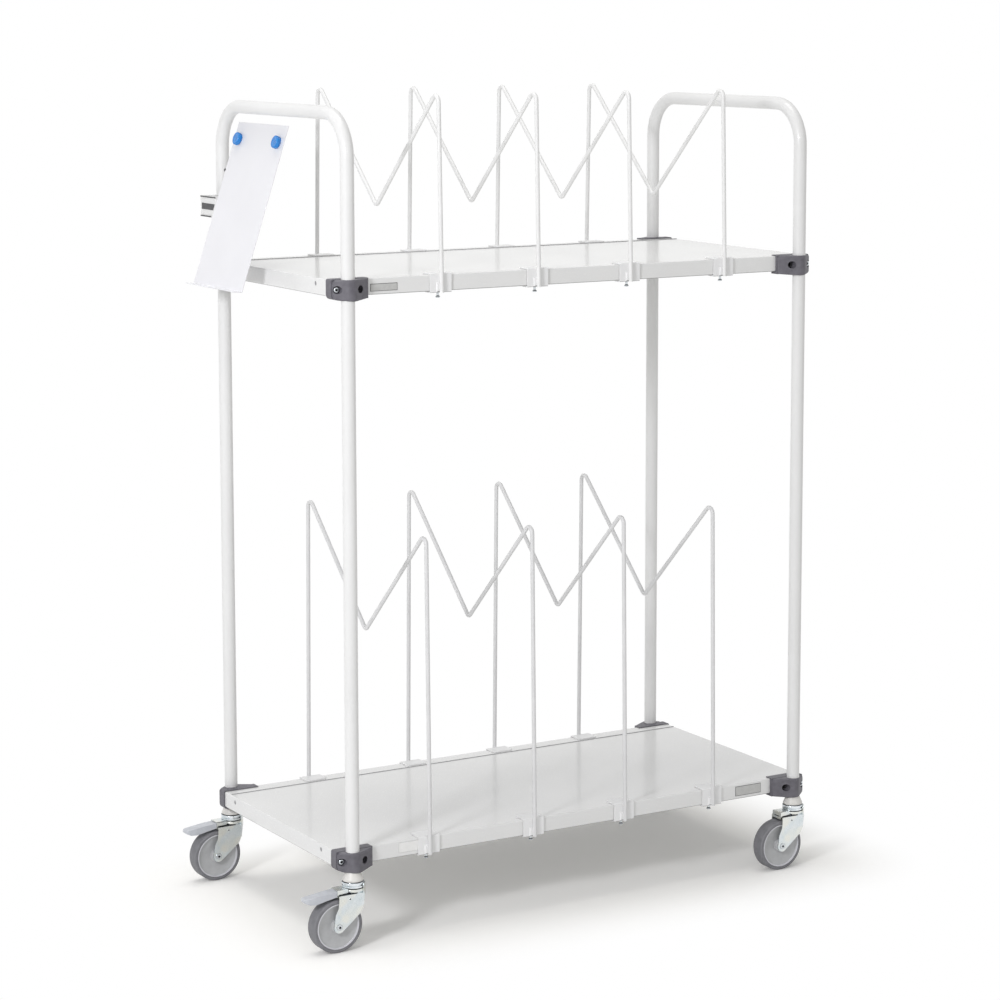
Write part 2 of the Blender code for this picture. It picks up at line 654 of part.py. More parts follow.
def lower_race():
    """The ball race that turns with the fork, with a groove under its rim."""
    return turned((
        (0, CROWN_BOTTOM),
        (RACE_NECK_RADIUS, CROWN_BOTTOM),
        (RACE_NECK_RADIUS, LOWER_RACE_BOTTOM),
        (RACE_RADIUS, LOWER_RACE_BOTTOM + RACE_GROOVE),
        (RACE_RADIUS, LOWER_RACE_TOP - RACE_GROOVE),
        (RACE_BALL_RADIUS, LOWER_RACE_TOP),
        (0, LOWER_RACE_TOP),
    ), RACE_STEPS)


def shroud():
    """The part of the pressing that wraps up in front of the ball races."""
    inner = arc((0, 0), SHROUD_ROOT_RADIUS, SHROUD_HALF_ANGLE, -SHROUD_HALF_ANGLE, SHROUD_STEPS)
    outer = arc((0, 0), SHROUD_RADIUS, -SHROUD_HALF_ANGLE, SHROUD_HALF_ANGLE, SHROUD_STEPS)
    outline = [(x, y, CROWN_BOTTOM) for x, y in inner + outer]
    return cut(prism(outline, (0, 0, SHROUD_TOP - CROWN_BOTTOM)), [race_room()])


def race_room():
    """The space that the upper ball race turns in."""
    return rod(RACE_RADIUS + RACE_GAP, LOWER_RACE_TOP - RACE_GROOVE, UPPER_RACE_TOP, RACE_STEPS)


def hood(braked):
    """Rear hood over the wheel: open towards the rear for a pedal, closed without one."""
    half = HOOD_WIDTH / 2
    shell = block((HOOD_REAR, -half, CROWN_BOTTOM), (HOOD_FRONT, half, HOOD_TOP))
    inside = half - HOOD_SHEET
    back = HOOD_REAR - CUT_OVERRUN if braked else HOOD_REAR + HOOD_SHEET
    room = block((back, -inside, CROWN_BOTTOM - CUT_OVERRUN),
                 (HOOD_FRONT + CUT_OVERRUN, inside, HOOD_TOP - HOOD_SHEET))
    return cut(shell, [room, race_room()])


def axle():
    """The riveted axle that crosses both cheeks."""
    flange = CHEEK_GAP / 2 + CHEEK_SHEET + FIT_GAP
    end = flange + AXLE_HEAD_HEIGHT
    shaft, head = AXLE_DIAMETER / 2, AXLE_HEAD_DIAMETER / 2
    profile = ((0, -end), (head, -end), (head, -flange), (shaft, -flange), (shaft, flange),
               (head, flange), (head, end), (0, end))
    return to_mesh(turn_to(turned(profile, AXLE_SIDES), (0, 1, 0)), "axle")


def pedal_pin(outer):
    """The riveted pin at the top of the cheeks, which also carries a brake pedal."""
    end = outer + PEDAL_PIN_PROUD
    pin = rod(PEDAL_PIN_DIAMETER / 2, -end, end, PEDAL_PIN_SIDES)
    return turn_to(pin, (0, 1, 0), (PEDAL_PIVOT[0], 0, PEDAL_PIVOT[1]))


def wheel_hub():
    """Moulded wheel centre with a dished disc, a rim and an axle boss, turned round the Y axis."""
    bore = AXLE_DIAMETER / 2 + RUNNING_GAP
    boss = HUB_BOSS_DIAMETER / 2
    boss_half = CHEEK_GAP / 2 - RUNNING_GAP
    disc_half = HUB_DISC_WIDTH / 2
    rim_half = HUB_RIM_WIDTH / 2
    rim_outer = WHEEL_RADIUS - TYRE_THICKNESS
    rim_inner = rim_outer - HUB_RIM_THICKNESS
    side = ((bore, boss_half), (boss, boss_half), (boss, disc_half - HUB_DISC_DISH),
            (rim_inner, disc_half), (rim_inner, rim_half), (rim_outer, rim_half))
    profile = [*side, *[(radius, -width) for radius, width in reversed(side)]]
    return to_mesh(turn_to(turned(profile, WHEEL_STEPS, True), (0, 1, 0)), "wheel_hub")


def tyre():
    """The tyre on the rim, with rounded shoulders; its flats lie on the floor."""
    inner = WHEEL_RADIUS - TYRE_THICKNESS + FIT_GAP
    outer = WHEEL_RADIUS / math.cos(math.pi / WHEEL_STEPS)
    half = TYRE_WIDTH / 2
    shoulder = TYRE_SHOULDER
    curve = arc((outer - shoulder, half - shoulder), shoulder, math.pi / 2, 0, TYRE_SHOULDER_STEPS)
    side = [(inner, half), *curve]
    profile = [*side, *[(radius, -width) for radius, width in reversed(side)]]
    return to_mesh(turn_to(turned(profile, WHEEL_STEPS, True), (0, 1, 0)), "tyre")


def brake_pedal():
    """Hollow pedal with skirts and a rounded tip; its eye turns on the pin of the fork."""
    half, skin = PEDAL_WIDTH / 2, PEDAL_SKIN
    pivot = Vector((PEDAL_PIVOT[0], 0, PEDAL_PIVOT[1]))
    outline = [*PEDAL_EYE, *PEDAL_TOP, *PEDAL_TIP, *PEDAL_UNDERSIDE]
    body = prism([(x, -half, z) for x, z in outline], (0, PEDAL_WIDTH, 0))
    tip = min(x for x, z in outline)
    corner = arc((tip + PEDAL_TIP_RADIUS, half - PEDAL_TIP_RADIUS), PEDAL_TIP_RADIUS,
                 math.pi / 2, math.pi, PEDAL_TIP_STEPS)
    plan = [(0, half), *corner, *[(x, -y) for x, y in reversed(corner)], (0, -half)]
    body = joined(body, [prism([(x, y, 0) for x, y in plan], (0, 0, CUT_THROUGH))], "INTERSECT")
    roof = [(x - skin, z - skin) for x, z in PEDAL_TOP]
    room = [*roof, (roof[-1][0], 0), (roof[0][0], 0)]
    hollow = prism([(x, skin - half, z) for x, z in room], (0, PEDAL_WIDTH - 2 * skin, 0))
    eye = rod(PEDAL_PIN_DIAMETER / 2 + RUNNING_GAP, -CUT_THROUGH, CUT_THROUGH, PEDAL_PIN_SIDES)
    body = cut(body, [hollow, turn_to(eye, (0, 1, 0), pivot)])
    bmesh.ops.translate(body, vec=-pivot, verts=body.verts)
    return to_mesh(body, "brake_pedal")


def holder_sleeve():
    """Plastic sleeve that grips the post under the document holder."""
    half = HOLDER_STRIP / 2
    outer = TUBE_RADIUS + FIT_GAP + SLEEVE_WALL
    return to_mesh(swept([(0, -half), (0, half)], outer, TUBE_SIDES, SLEEVE_WALL), "holder_sleeve")


def panel_frame():
    """Directions of the tilted panel: up its slope and square to its back."""
    up = Vector((math.sin(PANEL_TILT), 0, math.cos(PANEL_TILT)))
    back = Vector((math.cos(PANEL_TILT), 0, -math.sin(PANEL_TILT)))
    foot = Vector((-PANEL_FOOT_FROM_POST, 0, -PANEL_FOOT_BELOW_HOLDER))
    return foot, up, back


def holder_bracket():
    """Strip folded round the sleeve on three sides, with a front plate and a tilted tab."""
    sheet, half = HOLDER_SHEET, HOLDER_STRIP / 2
    sleeve = TUBE_RADIUS + FIT_GAP + SLEEVE_WALL + FIT_GAP
    end = sleeve + sheet
    front = -HOLDER_FRONT_FROM_POST
    near = FIT_GAP - PANEL_EDGE_FROM_POST
    jaw = -HOLDER_SCREW_FROM_POST - HOLDER_SCREW_HEAD_DIAMETER / 2
    front_plate = block((front, near, -half), (front + sheet, end, half))
    end_plate = block((front, sleeve, -half), (HOLDER_REAR_FROM_POST, end, half))
    rear_jaw = block((HOLDER_REAR_FROM_POST - sheet, jaw, -half), (HOLDER_REAR_FROM_POST, end, half))
    web = block((-HOLDER_WEB_FROM_POST, jaw, -half), (sheet - HOLDER_WEB_FROM_POST, end, half))
    bracket = united(front_plate, [end_plate, rear_jaw, web, holder_tab()])
    hole = rod(HOLDER_SCREW_DIAMETER / 2 + FIT_GAP, front + sheet + FIT_GAP,
               HOLDER_REAR_FROM_POST + CUT_OVERRUN, DIVIDER_SCREW_SIDES)
    return to_mesh(cut(bracket, [turn_to(hole, (1, 0, 0), (0, -HOLDER_SCREW_FROM_POST, 0))]),
                   "holder_bracket")


def holder_tab():
    """The tab of the bracket that lies along the back of the tilted panel."""
    foot, up, back = panel_frame()
    rise = -foot.z / up.z
    middle = foot + up * rise + back * (PANEL_SHEET + FIT_GAP)
    half_up = up * HOLDER_STRIP / 2 * math.cos(PANEL_TILT)
    near = Vector((0, TAB_OVERLAP - PANEL_EDGE_FROM_POST, 0))
    far = near - Vector((0, TAB_LENGTH, 0))
    outline = [middle + half_up + near, middle + half_up + far, middle - half_up + far,
               middle - half_up + near]
    return prism(outline, back * HOLDER_SHEET)


def holder_screw():
    """The screw that draws the two jaws of the bracket on to the sleeve."""
    sheet, shank, head = HOLDER_SHEET, HOLDER_SCREW_DIAMETER / 2, HOLDER_SCREW_HEAD_DIAMETER / 2
    under = HOLDER_REAR_FROM_POST + FIT_GAP
    tip = -HOLDER_WEB_FROM_POST - sheet
    top = under + HOLDER_SCREW_HEAD_HEIGHT
    profile = ((0, tip), (shank, tip), (shank, under), (head, under), (head, top), (0, top))
    screw = turned(profile, DIVIDER_SCREW_SIDES)
    return to_mesh(turn_to(screw, (1, 0, 0), (0, -HOLDER_SCREW_FROM_POST, 0)), "holder_screw")


def holder_panel():
    """The tilted panel with the lip that papers stand on, folded from one sheet."""
    foot, up, back = panel_frame()
    out = Vector((-math.cos(LIP_RISE), 0, math.sin(LIP_RISE)))
    down = Vector((-math.sin(LIP_RISE), 0, -math.cos(LIP_RISE)))
    lip, top = foot + out * LIP_DEPTH, foot + up * PANEL_LENGTH
    heel = foot + PANEL_SHEET * (back + down) / (1 + back.dot(down))
    outline = [lip, foot, top, top + back * PANEL_SHEET, heel, lip + down * PANEL_SHEET]
    near = Vector((0, -PANEL_EDGE_FROM_POST, 0))
    return to_mesh(prism([point + near for point in outline], (0, -PANEL_WIDTH, 0)), "holder_panel")


def holder_magnet():
    """A round magnet, made with its flat face at the origin and its axis out of the panel."""
    back = panel_frame()[-1]
    radius, high, edge = MAGNET_DIAMETER / 2, MAGNET_HEIGHT, MAGNET_CHAMFER
    profile = ((0, 0), (radius - edge, 0), (radius, edge), (radius, high - edge),
               (radius - edge, high), (0, high))
    return to_mesh(turn_to(turned(profile, MAGNET_SIDES), -back), "holder_magnet")


def add_frames_and_shelves(root, paint, tray_paint):
    """Place the two end frames and the two shelves."""
    frame = end_frame()
    for side, x in (("left", -HALF_LENGTH), ("right", HALF_LENGTH)):
        put(side + "_end_frame", frame, paint, root, (x, 0, 0))
    tray = shelf()
    for level, top in SHELF_TOPS.items():
        put(level + "_shelf", tray, tray_paint, root, (0, 0, top))


def add_clamps(root, moulding):
    """Place a clamp's two halves at each corner of each shelf."""
    seats = {1: to_mesh(clamp_seat(), "seat_right"), -1: to_mesh(mirrored(clamp_seat()), "seat_left")}
    shells = {1: to_mesh(clamp_shell(), "shell_right"),
              -1: to_mesh(mirrored(clamp_shell()), "shell_left")}
    for level, top in SHELF_TOPS.items():
        for corner, (out_x, out_y) in CORNERS.items():
            hand = out_x * out_y
            turn = 0 if out_y > 0 else math.pi
            place = (out_x * HALF_LENGTH, out_y * HALF_DEPTH, top)
            name = level + "_" + corner + "_clamp_"
            put(name + "seat", seats[hand], moulding, root, place, turn)
            put(name + "shell", shells[hand], moulding, root, place, turn)


def add_dividers(root, paint):
    """Place four wire dividers on each shelf."""
    for level, top in SHELF_TOPS.items():
        mesh = divider(level)
        for number, share in enumerate(DIVIDER_SHARES_OF_LENGTH[level], 1):
            put(f"{level}_divider_{number}", mesh, paint, root, (share * SHELF_LENGTH, 0, top))


def add_casters(root, zinc, plug_plastic, hub_plastic, rubber, pedal_paint):
    """Place a trailing caster under each post; the two on the left have brake pedals."""
    plug, pin, shaft = caster_plug(), caster_king_pin(), axle()
    hub, ring, pedal = wheel_hub(), tyre(), brake_pedal()
    forks = {True: caster_fork(True), False: caster_fork(False)}
    for corner, (out_x, out_y) in CORNERS.items():
        name = "caster_" + corner
        swivel = empty(name, root, (out_x * HALF_LENGTH, out_y * HALF_DEPTH, 0))
        braked = out_x < 0
        put(name + "_plug", plug, plug_plastic, swivel)
        put(name + "_king_pin", pin, zinc, swivel)
        put(name + "_fork", forks[braked], zinc, swivel)
        centre = (-CASTER_TRAIL, 0, WHEEL_RADIUS)
        put(name + "_axle", shaft, zinc, swivel, centre)
        put(name + "_hub", hub, hub_plastic, swivel, centre)
        put(name + "_tyre", ring, rubber, swivel, centre)
        if braked:
            put(name + "_brake_pedal", pedal, pedal_paint, swivel, (PEDAL_PIVOT[0], 0, PEDAL_PIVOT[1]))


def add_holder(root, paint, sleeve_plastic, zinc, magnet_plastic):
    """Place the document holder on the rear left post."""
    post = empty("holder_post", root, (-HALF_LENGTH, HALF_DEPTH, HOLDER_HEIGHT))
    put("holder_sleeve", holder_sleeve(), sleeve_plastic, post)
    put("holder_bracket", holder_bracket(), paint, post)
    put("holder_screw", holder_screw(), zinc, post)
    put("holder_panel", holder_panel(), paint, post)
    foot, up, back = panel_frame()
    row = foot + up * (PANEL_LENGTH - MAGNET_FROM_TOP) - back * FIT_GAP
    first = PANEL_EDGE_FROM_POST + MAGNET_FROM_SIDE
    second = PANEL_EDGE_FROM_POST + PANEL_WIDTH - MAGNET_FROM_SIDE
    magnet = holder_magnet()
    put("holder_rear_magnet", magnet, magnet_plastic, post, row - Vector((0, first, 0)))
    put("holder_front_magnet", magnet, magnet_plastic, post, row - Vector((0, second, 0)))


def main():
    """Build the trolley."""
    clear_scene()
    tube_paint = finish("powder_coated_tube", (0.76, 0.76, 0.75), 0.35)
    tray_paint = finish("powder_coated_tray", (0.72, 0.72, 0.71), 0.30)
    wire_paint = finish("powder_coated_wire", (0.70, 0.70, 0.68), 0.40)
    clamp_plastic = finish("grey_clamp_plastic", (0.17, 0.165, 0.18), 0.45)
    zinc = finish("zinc_plated_steel", (0.66, 0.68, 0.68), 0.28, 1)
    plug_plastic = finish("cream_plug_plastic", (0.76, 0.74, 0.68), 0.45)
    hub_plastic = finish("grey_hub_plastic", (0.35, 0.35, 0.36), 0.50)
    rubber = finish("grey_tyre_rubber", (0.16, 0.16, 0.165), 0.70)
    pedal_paint = finish("grey_pedal_coating", (0.45, 0.46, 0.50), 0.45)
    magnet_plastic = finish("blue_magnet_plastic", (0.06, 0.30, 0.75), 0.35)
    root = empty("trolley", None, (ORIGIN_SHIFT, 0, 0))
    add_frames_and_shelves(root, tube_paint, tray_paint)
    add_clamps(root, clamp_plastic)
    add_dividers(root, wire_paint)
    add_casters(root, zinc, plug_plastic, hub_plastic, rubber, pedal_paint)
    add_holder(root, tray_paint, clamp_plastic, zinc, magnet_plastic)


main()
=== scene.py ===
"""Dressed scene of a box trolley: two folded trays between tubular push ends, wire dividers, four
casters and a document holder, in plain studio light.

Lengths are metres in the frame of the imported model: +Z up, +X to the right end, +Y to the rear.
"""

import json
import logging
import math
from abc import ABC, abstractmethod
from collections.abc import Callable, Sequence
from dataclasses import dataclass
from enum import Enum

import bmesh
import bpy
from mathutils import Matrix, Vector


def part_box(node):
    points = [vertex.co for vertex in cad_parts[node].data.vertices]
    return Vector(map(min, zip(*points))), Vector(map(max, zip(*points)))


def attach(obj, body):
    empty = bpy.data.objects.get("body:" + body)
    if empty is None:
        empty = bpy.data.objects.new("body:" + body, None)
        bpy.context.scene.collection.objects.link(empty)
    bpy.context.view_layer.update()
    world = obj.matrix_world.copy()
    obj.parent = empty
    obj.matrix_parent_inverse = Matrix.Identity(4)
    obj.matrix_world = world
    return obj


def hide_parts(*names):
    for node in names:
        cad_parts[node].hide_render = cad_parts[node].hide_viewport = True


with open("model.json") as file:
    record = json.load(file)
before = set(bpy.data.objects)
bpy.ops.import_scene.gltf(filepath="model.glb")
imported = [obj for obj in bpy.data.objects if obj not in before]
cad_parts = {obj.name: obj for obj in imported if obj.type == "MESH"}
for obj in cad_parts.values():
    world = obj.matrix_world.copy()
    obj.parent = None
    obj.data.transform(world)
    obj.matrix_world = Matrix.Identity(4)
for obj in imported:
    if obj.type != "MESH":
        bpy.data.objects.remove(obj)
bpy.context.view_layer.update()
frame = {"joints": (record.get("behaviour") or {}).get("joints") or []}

MM = 0.001
QUARTER_TURN = math.pi / 2

# Angle between two faces up to which their edge is shaded smooth, or is dissolved as none.
SMOOTH_BELOW = math.radians(34)
FLAT_BELOW = math.radians(0.3)
MERGE_DISTANCE = 0.00001

# The finest gap or rounding that is drawn, and how far a cutter runs past a face or right through.
HAIRLINE = 0.0003
PAST = 0.01
THROUGH = 0.3
HEXAGON = 6
ROUND_PROFILE = 0.5
# Colour of the painted dark bands in the grooves of the casters, for their shade and dark
# reflections.
DARK_BAND_COLOUR = "#4A4D53"

# The two halves of the sRGB curve: below the knee a straight line, above it a power.
SRGB_KNEE, SRGB_SLOPE, SRGB_SHIFT, SRGB_POWER = 0.04045, 12.92, 0.055, 2.4

# Numbers of the colour sockets of the mix node, whose names it has more than once.
MIX_FIRST, MIX_SECOND, MIX_RESULT = 6, 7, 2

# Parts of a noise's range that the shades, the gloss and the tint spread over.
CLOUD_BAND = (0.35, 0.65)
GRAIN_BAND = (0.3, 0.7)
TINT_BAND = (0.42, 0.62)
# Height of the face normal where the painted underside shade starts, and where it is darkest.
DOWNWARD = (-0.2, -0.6)

Point = Sequence[float]
Outline = Sequence[tuple[float, float]]
Points = tuple[tuple[float, float], ...]
Colour = tuple[float, float, float, float]

log = logging.getLogger("trolley")


class Level(Enum):
    """The two trays of the trolley."""

    LOWER = "lower"
    UPPER = "upper"

    @property
    def tray(self) -> str:
        """Name of the tray's node."""
        return f"{self.value}_shelf"

    @property
    def top(self) -> float:
        """Height of the tray's upper face."""
        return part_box(self.tray)[1].z


class Corner(Enum):
    """The four posts, by the side of X and of Y that they stand on."""

    FRONT_LEFT = (-1, -1)
    FRONT_RIGHT = (1, -1)
    REAR_LEFT = (-1, 1)
    REAR_RIGHT = (1, 1)

    @property
    def label(self) -> str:
        """Name of the corner as the nodes have it."""
        return self.name.lower()

    @property
    def braked(self) -> bool:
        """Whether the caster under this post has a pedal."""
        return self.value[0] < 0

    @property
    def post(self) -> Vector:
        """Foot of the post's axis, on the floor."""
        swivel = next(j for j in frame["joints"] if j["name"] == f"{self.label}_swivel")
        return Vector((swivel["pos_m"][0], swivel["pos_m"][1], 0))


class Side(Enum):
    """The two push ends."""

    LEFT = "left"
    RIGHT = "right"

    @property
    def x(self) -> float:
        """Place of the end's posts along X."""
        return (Corner.FRONT_LEFT if self is Side.LEFT else Corner.FRONT_RIGHT).post.x


class Hand(Enum):
    """The two hands of a clamp half."""

    RIGHT = 1
    LEFT = -1


def linear(hex_colour: str) -> Colour:
    """Turn an sRGB hex colour linear.

    Args:
        hex_colour: colour as "#RRGGBB".

    Returns:
        Linear red, green, blue and an alpha of one.
    """
    parts = [int(hex_colour[i:i + 2], 16) / 255 for i in (1, 3, 5)]
    red, green, blue = (part / SRGB_SLOPE if part <= SRGB_KNEE
                        else ((part + SRGB_SHIFT) / (1 + SRGB_SHIFT)) ** SRGB_POWER
                        for part in parts)
    return red, green, blue, 1.0


def add(tree: bpy.types.NodeTree, kind: str, sockets: dict | None = None,
        **settings: object) -> bpy.types.Node:
    """Add a node with its settings, and set or link its inputs.

    Args:
        tree: node tree of a material or of the world.
        kind: Blender's name of the node type.
        sockets: input name or number to a value, or to an output socket to link.
        settings: properties of the node.

    Returns:
        The new node.
    """
    node = tree.nodes.new(kind)
    for name, value in settings.items():
        setattr(node, name, value)
    for name, value in (sockets or {}).items():
        if isinstance(value, bpy.types.NodeSocket):
            tree.links.new(value, node.inputs[name])
        else:
            node.inputs[name].default_value = value
    return node


@dataclass(frozen=True)
class GreaseLine:
    """A painted dark band round an upright axis, for the shade and dark reflections in a groove.

    Attributes:
        low: its lowest point.
        high: its highest point.
        centre: place of its axis along X.
        reach: radius up to which it shows.
    """

    low: float
    high: float
    centre: float = 0.0
    reach: float = 0.0216


@dataclass(frozen=True)
class Finish:
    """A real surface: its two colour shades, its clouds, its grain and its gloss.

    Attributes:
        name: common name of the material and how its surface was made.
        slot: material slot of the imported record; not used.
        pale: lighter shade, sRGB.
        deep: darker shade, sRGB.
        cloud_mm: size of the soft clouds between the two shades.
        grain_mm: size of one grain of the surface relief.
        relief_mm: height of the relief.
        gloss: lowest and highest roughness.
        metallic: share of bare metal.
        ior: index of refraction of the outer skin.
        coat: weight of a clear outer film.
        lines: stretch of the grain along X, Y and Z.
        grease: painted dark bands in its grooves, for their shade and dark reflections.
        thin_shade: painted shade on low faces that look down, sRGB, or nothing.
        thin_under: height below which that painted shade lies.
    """

    name: str
    slot: str
    pale: str
    deep: str
    cloud_mm: float
    grain_mm: float
    relief_mm: float
    gloss: tuple[float, float]
    metallic: float = 0.0
    ior: float = 1.5
    coat: float = 0.0
    lines: tuple[float, float, float] = (1.0, 1.0, 1.0)
    grease: tuple[GreaseLine, ...] = ()
    thin_shade: str = ""
    thin_under: float = 0.0

    def colour(self, tree: bpy.types.NodeTree, place: bpy.types.NodeSocket) -> bpy.types.NodeSocket:
        """Cloud the two shades into each other.

        Args:
            tree: node tree of the material.
            place: object coordinates.

        Returns:
            The colour output.
        """
        cloud = add(tree, "ShaderNodeTexNoise",
                    {"Vector": place, "Scale": 1 / (self.cloud_mm * MM), "Detail": 3.0,
                     "Roughness": 0.55})
        ramp = add(tree, "ShaderNodeValToRGB", {"Fac": cloud.outputs["Fac"]})
        for stop, position, shade in zip(ramp.color_ramp.elements, CLOUD_BAND,
                                         (self.deep, self.pale)):
            stop.position = position
            stop.color = linear(shade)
        return ramp.outputs["Color"]

    def greased(self, tree: bpy.types.NodeTree, place: bpy.types.NodeSocket,
                unbanded: bpy.types.NodeSocket) -> bpy.types.NodeSocket:
        """Darken the turned grooves, where grease sits.

        Args:
            tree: node tree of the material.
            place: object coordinates.
            unbanded: colour of the metal without the bands.

        Returns:
            The colour output.
        """
        height = add(tree, "ShaderNodeSeparateXYZ", {"Vector": place}).outputs["Z"]
        share: bpy.types.NodeSocket | float = 0.0
        for line in self.grease:
            offset = add(tree, "ShaderNodeVectorMath", {0: place, 1: (line.centre, 0.0, 0.0)},
                         operation="SUBTRACT")
            flat = add(tree, "ShaderNodeVectorMath",
                       {0: offset.outputs["Vector"], 1: (1.0, 1.0, 0.0)}, operation="MULTIPLY")
            reach = add(tree, "ShaderNodeVectorMath", {0: flat.outputs["Vector"]},
                        operation="LENGTH")
            inside = add(tree, "ShaderNodeMath", {0: reach.outputs["Value"], 1: line.reach},
                         operation="LESS_THAN")
            band = add(tree, "ShaderNodeMath", {0: height, 1: (line.low + line.high) / 2,
                                                2: (line.high - line.low) / 2}, operation="COMPARE")
            both = add(tree, "ShaderNodeMath", {0: band.outputs[0], 1: inside.outputs[0]},
                       operation="MULTIPLY")
            share = add(tree, "ShaderNodeMath", {0: both.outputs[0], 1: share},
                        operation="MAXIMUM").outputs[0]
        mixed = add(tree, "ShaderNodeMix",
                    {"Factor": share, MIX_FIRST: unbanded, MIX_SECOND: linear(DARK_BAND_COLOUR)},
                    data_type="RGBA")
        return mixed.outputs[MIX_RESULT]

    def thinned(self, tree: bpy.types.NodeTree, place: bpy.types.NodeSocket,
                full: bpy.types.NodeSocket) -> bpy.types.NodeSocket:
        """Paint shade on low faces that look down, for the dark line along the underside of the
        folds.

        Args:
            tree: node tree of the material.
            place: object coordinates.
            full: colour of the coat without the painted shade.

        Returns:
            The colour output.
        """
        normal = add(tree, "ShaderNodeNewGeometry").outputs["Normal"]
        rise = add(tree, "ShaderNodeSeparateXYZ", {"Vector": normal}).outputs["Z"]
        share = add(tree, "ShaderNodeMapRange",
                    {"Value": rise, "From Min": DOWNWARD[0], "From Max": DOWNWARD[1]})
        height = add(tree, "ShaderNodeSeparateXYZ", {"Vector": place}).outputs["Z"]
        low = add(tree, "ShaderNodeMath", {0: height, 1: self.thin_under}, operation="LESS_THAN")
        both = add(tree, "ShaderNodeMath", {0: low.outputs[0], 1: share.outputs["Result"]},
                   operation="MULTIPLY")
        mixed = add(tree, "ShaderNodeMix",
                    {"Factor": both.outputs[0], MIX_FIRST: full,
                     MIX_SECOND: linear(self.thin_shade)}, data_type="RGBA")
        return mixed.outputs[MIX_RESULT]

    def material(self) -> bpy.types.Material:
        """Make the node material, once for each finish.

        Returns:
            The material.
        """
        made = bpy.data.materials.get(self.name)
        if made:
            return made
        made = bpy.data.materials.new(self.name)
        made.use_nodes = True
        made.diffuse_color = linear(self.pale)
        tree = made.node_tree
        shader = tree.nodes["Principled BSDF"]
        place = add(tree, "ShaderNodeTexCoord").outputs["Object"]
        stretched = add(tree, "ShaderNodeMapping", {"Vector": place, "Scale": self.lines})
        grain = add(tree, "ShaderNodeTexNoise",
                    {"Vector": stretched.outputs["Vector"], "Scale": 1 / (self.grain_mm * MM),
                     "Detail": 2.0, "Roughness": 0.5})
        sheen = add(tree, "ShaderNodeMapRange",
                    {"Value": grain.outputs["Fac"], "From Min": GRAIN_BAND[0],
                     "From Max": GRAIN_BAND[1], "To Min": self.gloss[0], "To Max": self.gloss[1]})
        relief = add(tree, "ShaderNodeBump",
                     {"Height": grain.outputs["Fac"], "Strength": 1.0,
                      "Distance": self.relief_mm * MM})
        shader.inputs["Metallic"].default_value = self.metallic
        if not self.metallic:
            shader.inputs["IOR"].default_value = self.ior
        shader.inputs["Coat Weight"].default_value = self.coat
        colour = self.colour(tree, place)
        # Painted dark bands in the grooves, where the finish has them.
        if self.grease:
            colour = self.greased(tree, place, colour)
        # Painted shade on the low faces that look down, where the finish has it.
        if self.thin_shade:
            colour = self.thinned(tree, place, colour)
        tree.links.new(colour, shader.inputs["Base Color"])
        tree.links.new(sheen.outputs["Result"], shader.inputs["Roughness"])
        tree.links.new(relief.outputs["Normal"], shader.inputs["Normal"])
        return made


@dataclass(frozen=True)
class BandedFinish(Finish):
    """A turned or moulded wheel centre with a painted highlight: its outer ring is paler than its
    disc, for the light that the rounded lip catches.

    Attributes:
        ring: colour of the painted highlight on the outer ring, sRGB.
        ring_from: radius where the painted highlight starts.
    """

    ring: str = "#FFFFFF"
    ring_from: float = 0.0

    def colour(self, tree: bpy.types.NodeTree, place: bpy.types.NodeSocket) -> bpy.types.NodeSocket:
        """Lay the painted highlight of the ring over the clouded disc by distance from the axis,
        which is Y.

        Args:
            tree: node tree of the material.
            place: object coordinates.

        Returns:
            The colour output.
        """
        flat = add(tree, "ShaderNodeVectorMath", {0: place, 1: (1.0, 0.0, 1.0)},
                   operation="MULTIPLY")
        reach = add(tree, "ShaderNodeVectorMath", {0: flat.outputs["Vector"]}, operation="LENGTH")
        band = add(tree, "ShaderNodeMapRange",
                   {"Value": reach.outputs["Value"], "From Min": self.ring_from - HAIRLINE,
                    "From Max": self.ring_from + HAIRLINE})
        both = add(tree, "ShaderNodeMix",
                   {"Factor": band.outputs["Result"], MIX_FIRST: super().colour(tree, place),
                    MIX_SECOND: linear(self.ring)}, data_type="RGBA")
        return both.outputs[MIX_RESULT]


@dataclass(frozen=True)
class PassivatedFinish(Finish):
    """Zinc plating whose passivation drifts between a cold and a straw tint.

    Attributes:
        straw: the warm tint, sRGB.
        drift_mm: size of the patches of tint.
    """

    straw: str = "#FFFFFF"
    drift_mm: float = 20.0

    def colour(self, tree: bpy.types.NodeTree, place: bpy.types.NodeSocket) -> bpy.types.NodeSocket:
        """Drift the straw tint over the clouded zinc.

        Args:
            tree: node tree of the material.
            place: object coordinates.

        Returns:
            The colour output.
        """
        drift = add(tree, "ShaderNodeTexNoise",
                    {"Vector": place, "Scale": 1 / (self.drift_mm * MM), "Detail": 1.0,
                     "Distortion": 0.6})
        share = add(tree, "ShaderNodeMapRange",
                    {"Value": drift.outputs["Fac"], "From Min": TINT_BAND[0],
                     "From Max": TINT_BAND[1]})
        both = add(tree, "ShaderNodeMix",
                   {"Factor": share.outputs["Result"], MIX_FIRST: super().colour(tree, place),
                    MIX_SECOND: linear(self.straw)}, data_type="RGBA")
        return both.outputs[MIX_RESULT]


# Baked polyester powder on steel: a near-white skin with a soft orange peel. The peel is about
# 1.5 mm from dimple to dimple and gives a broad, slightly broken highlight.
TUBE_COAT = Finish("polyester_powder_coat_tube", "tube_coating", "#E9E9E8", "#E5E5E4", 180.0, 1.5,
                   0.002, (0.30, 0.36), ior=1.5, coat=0.15)
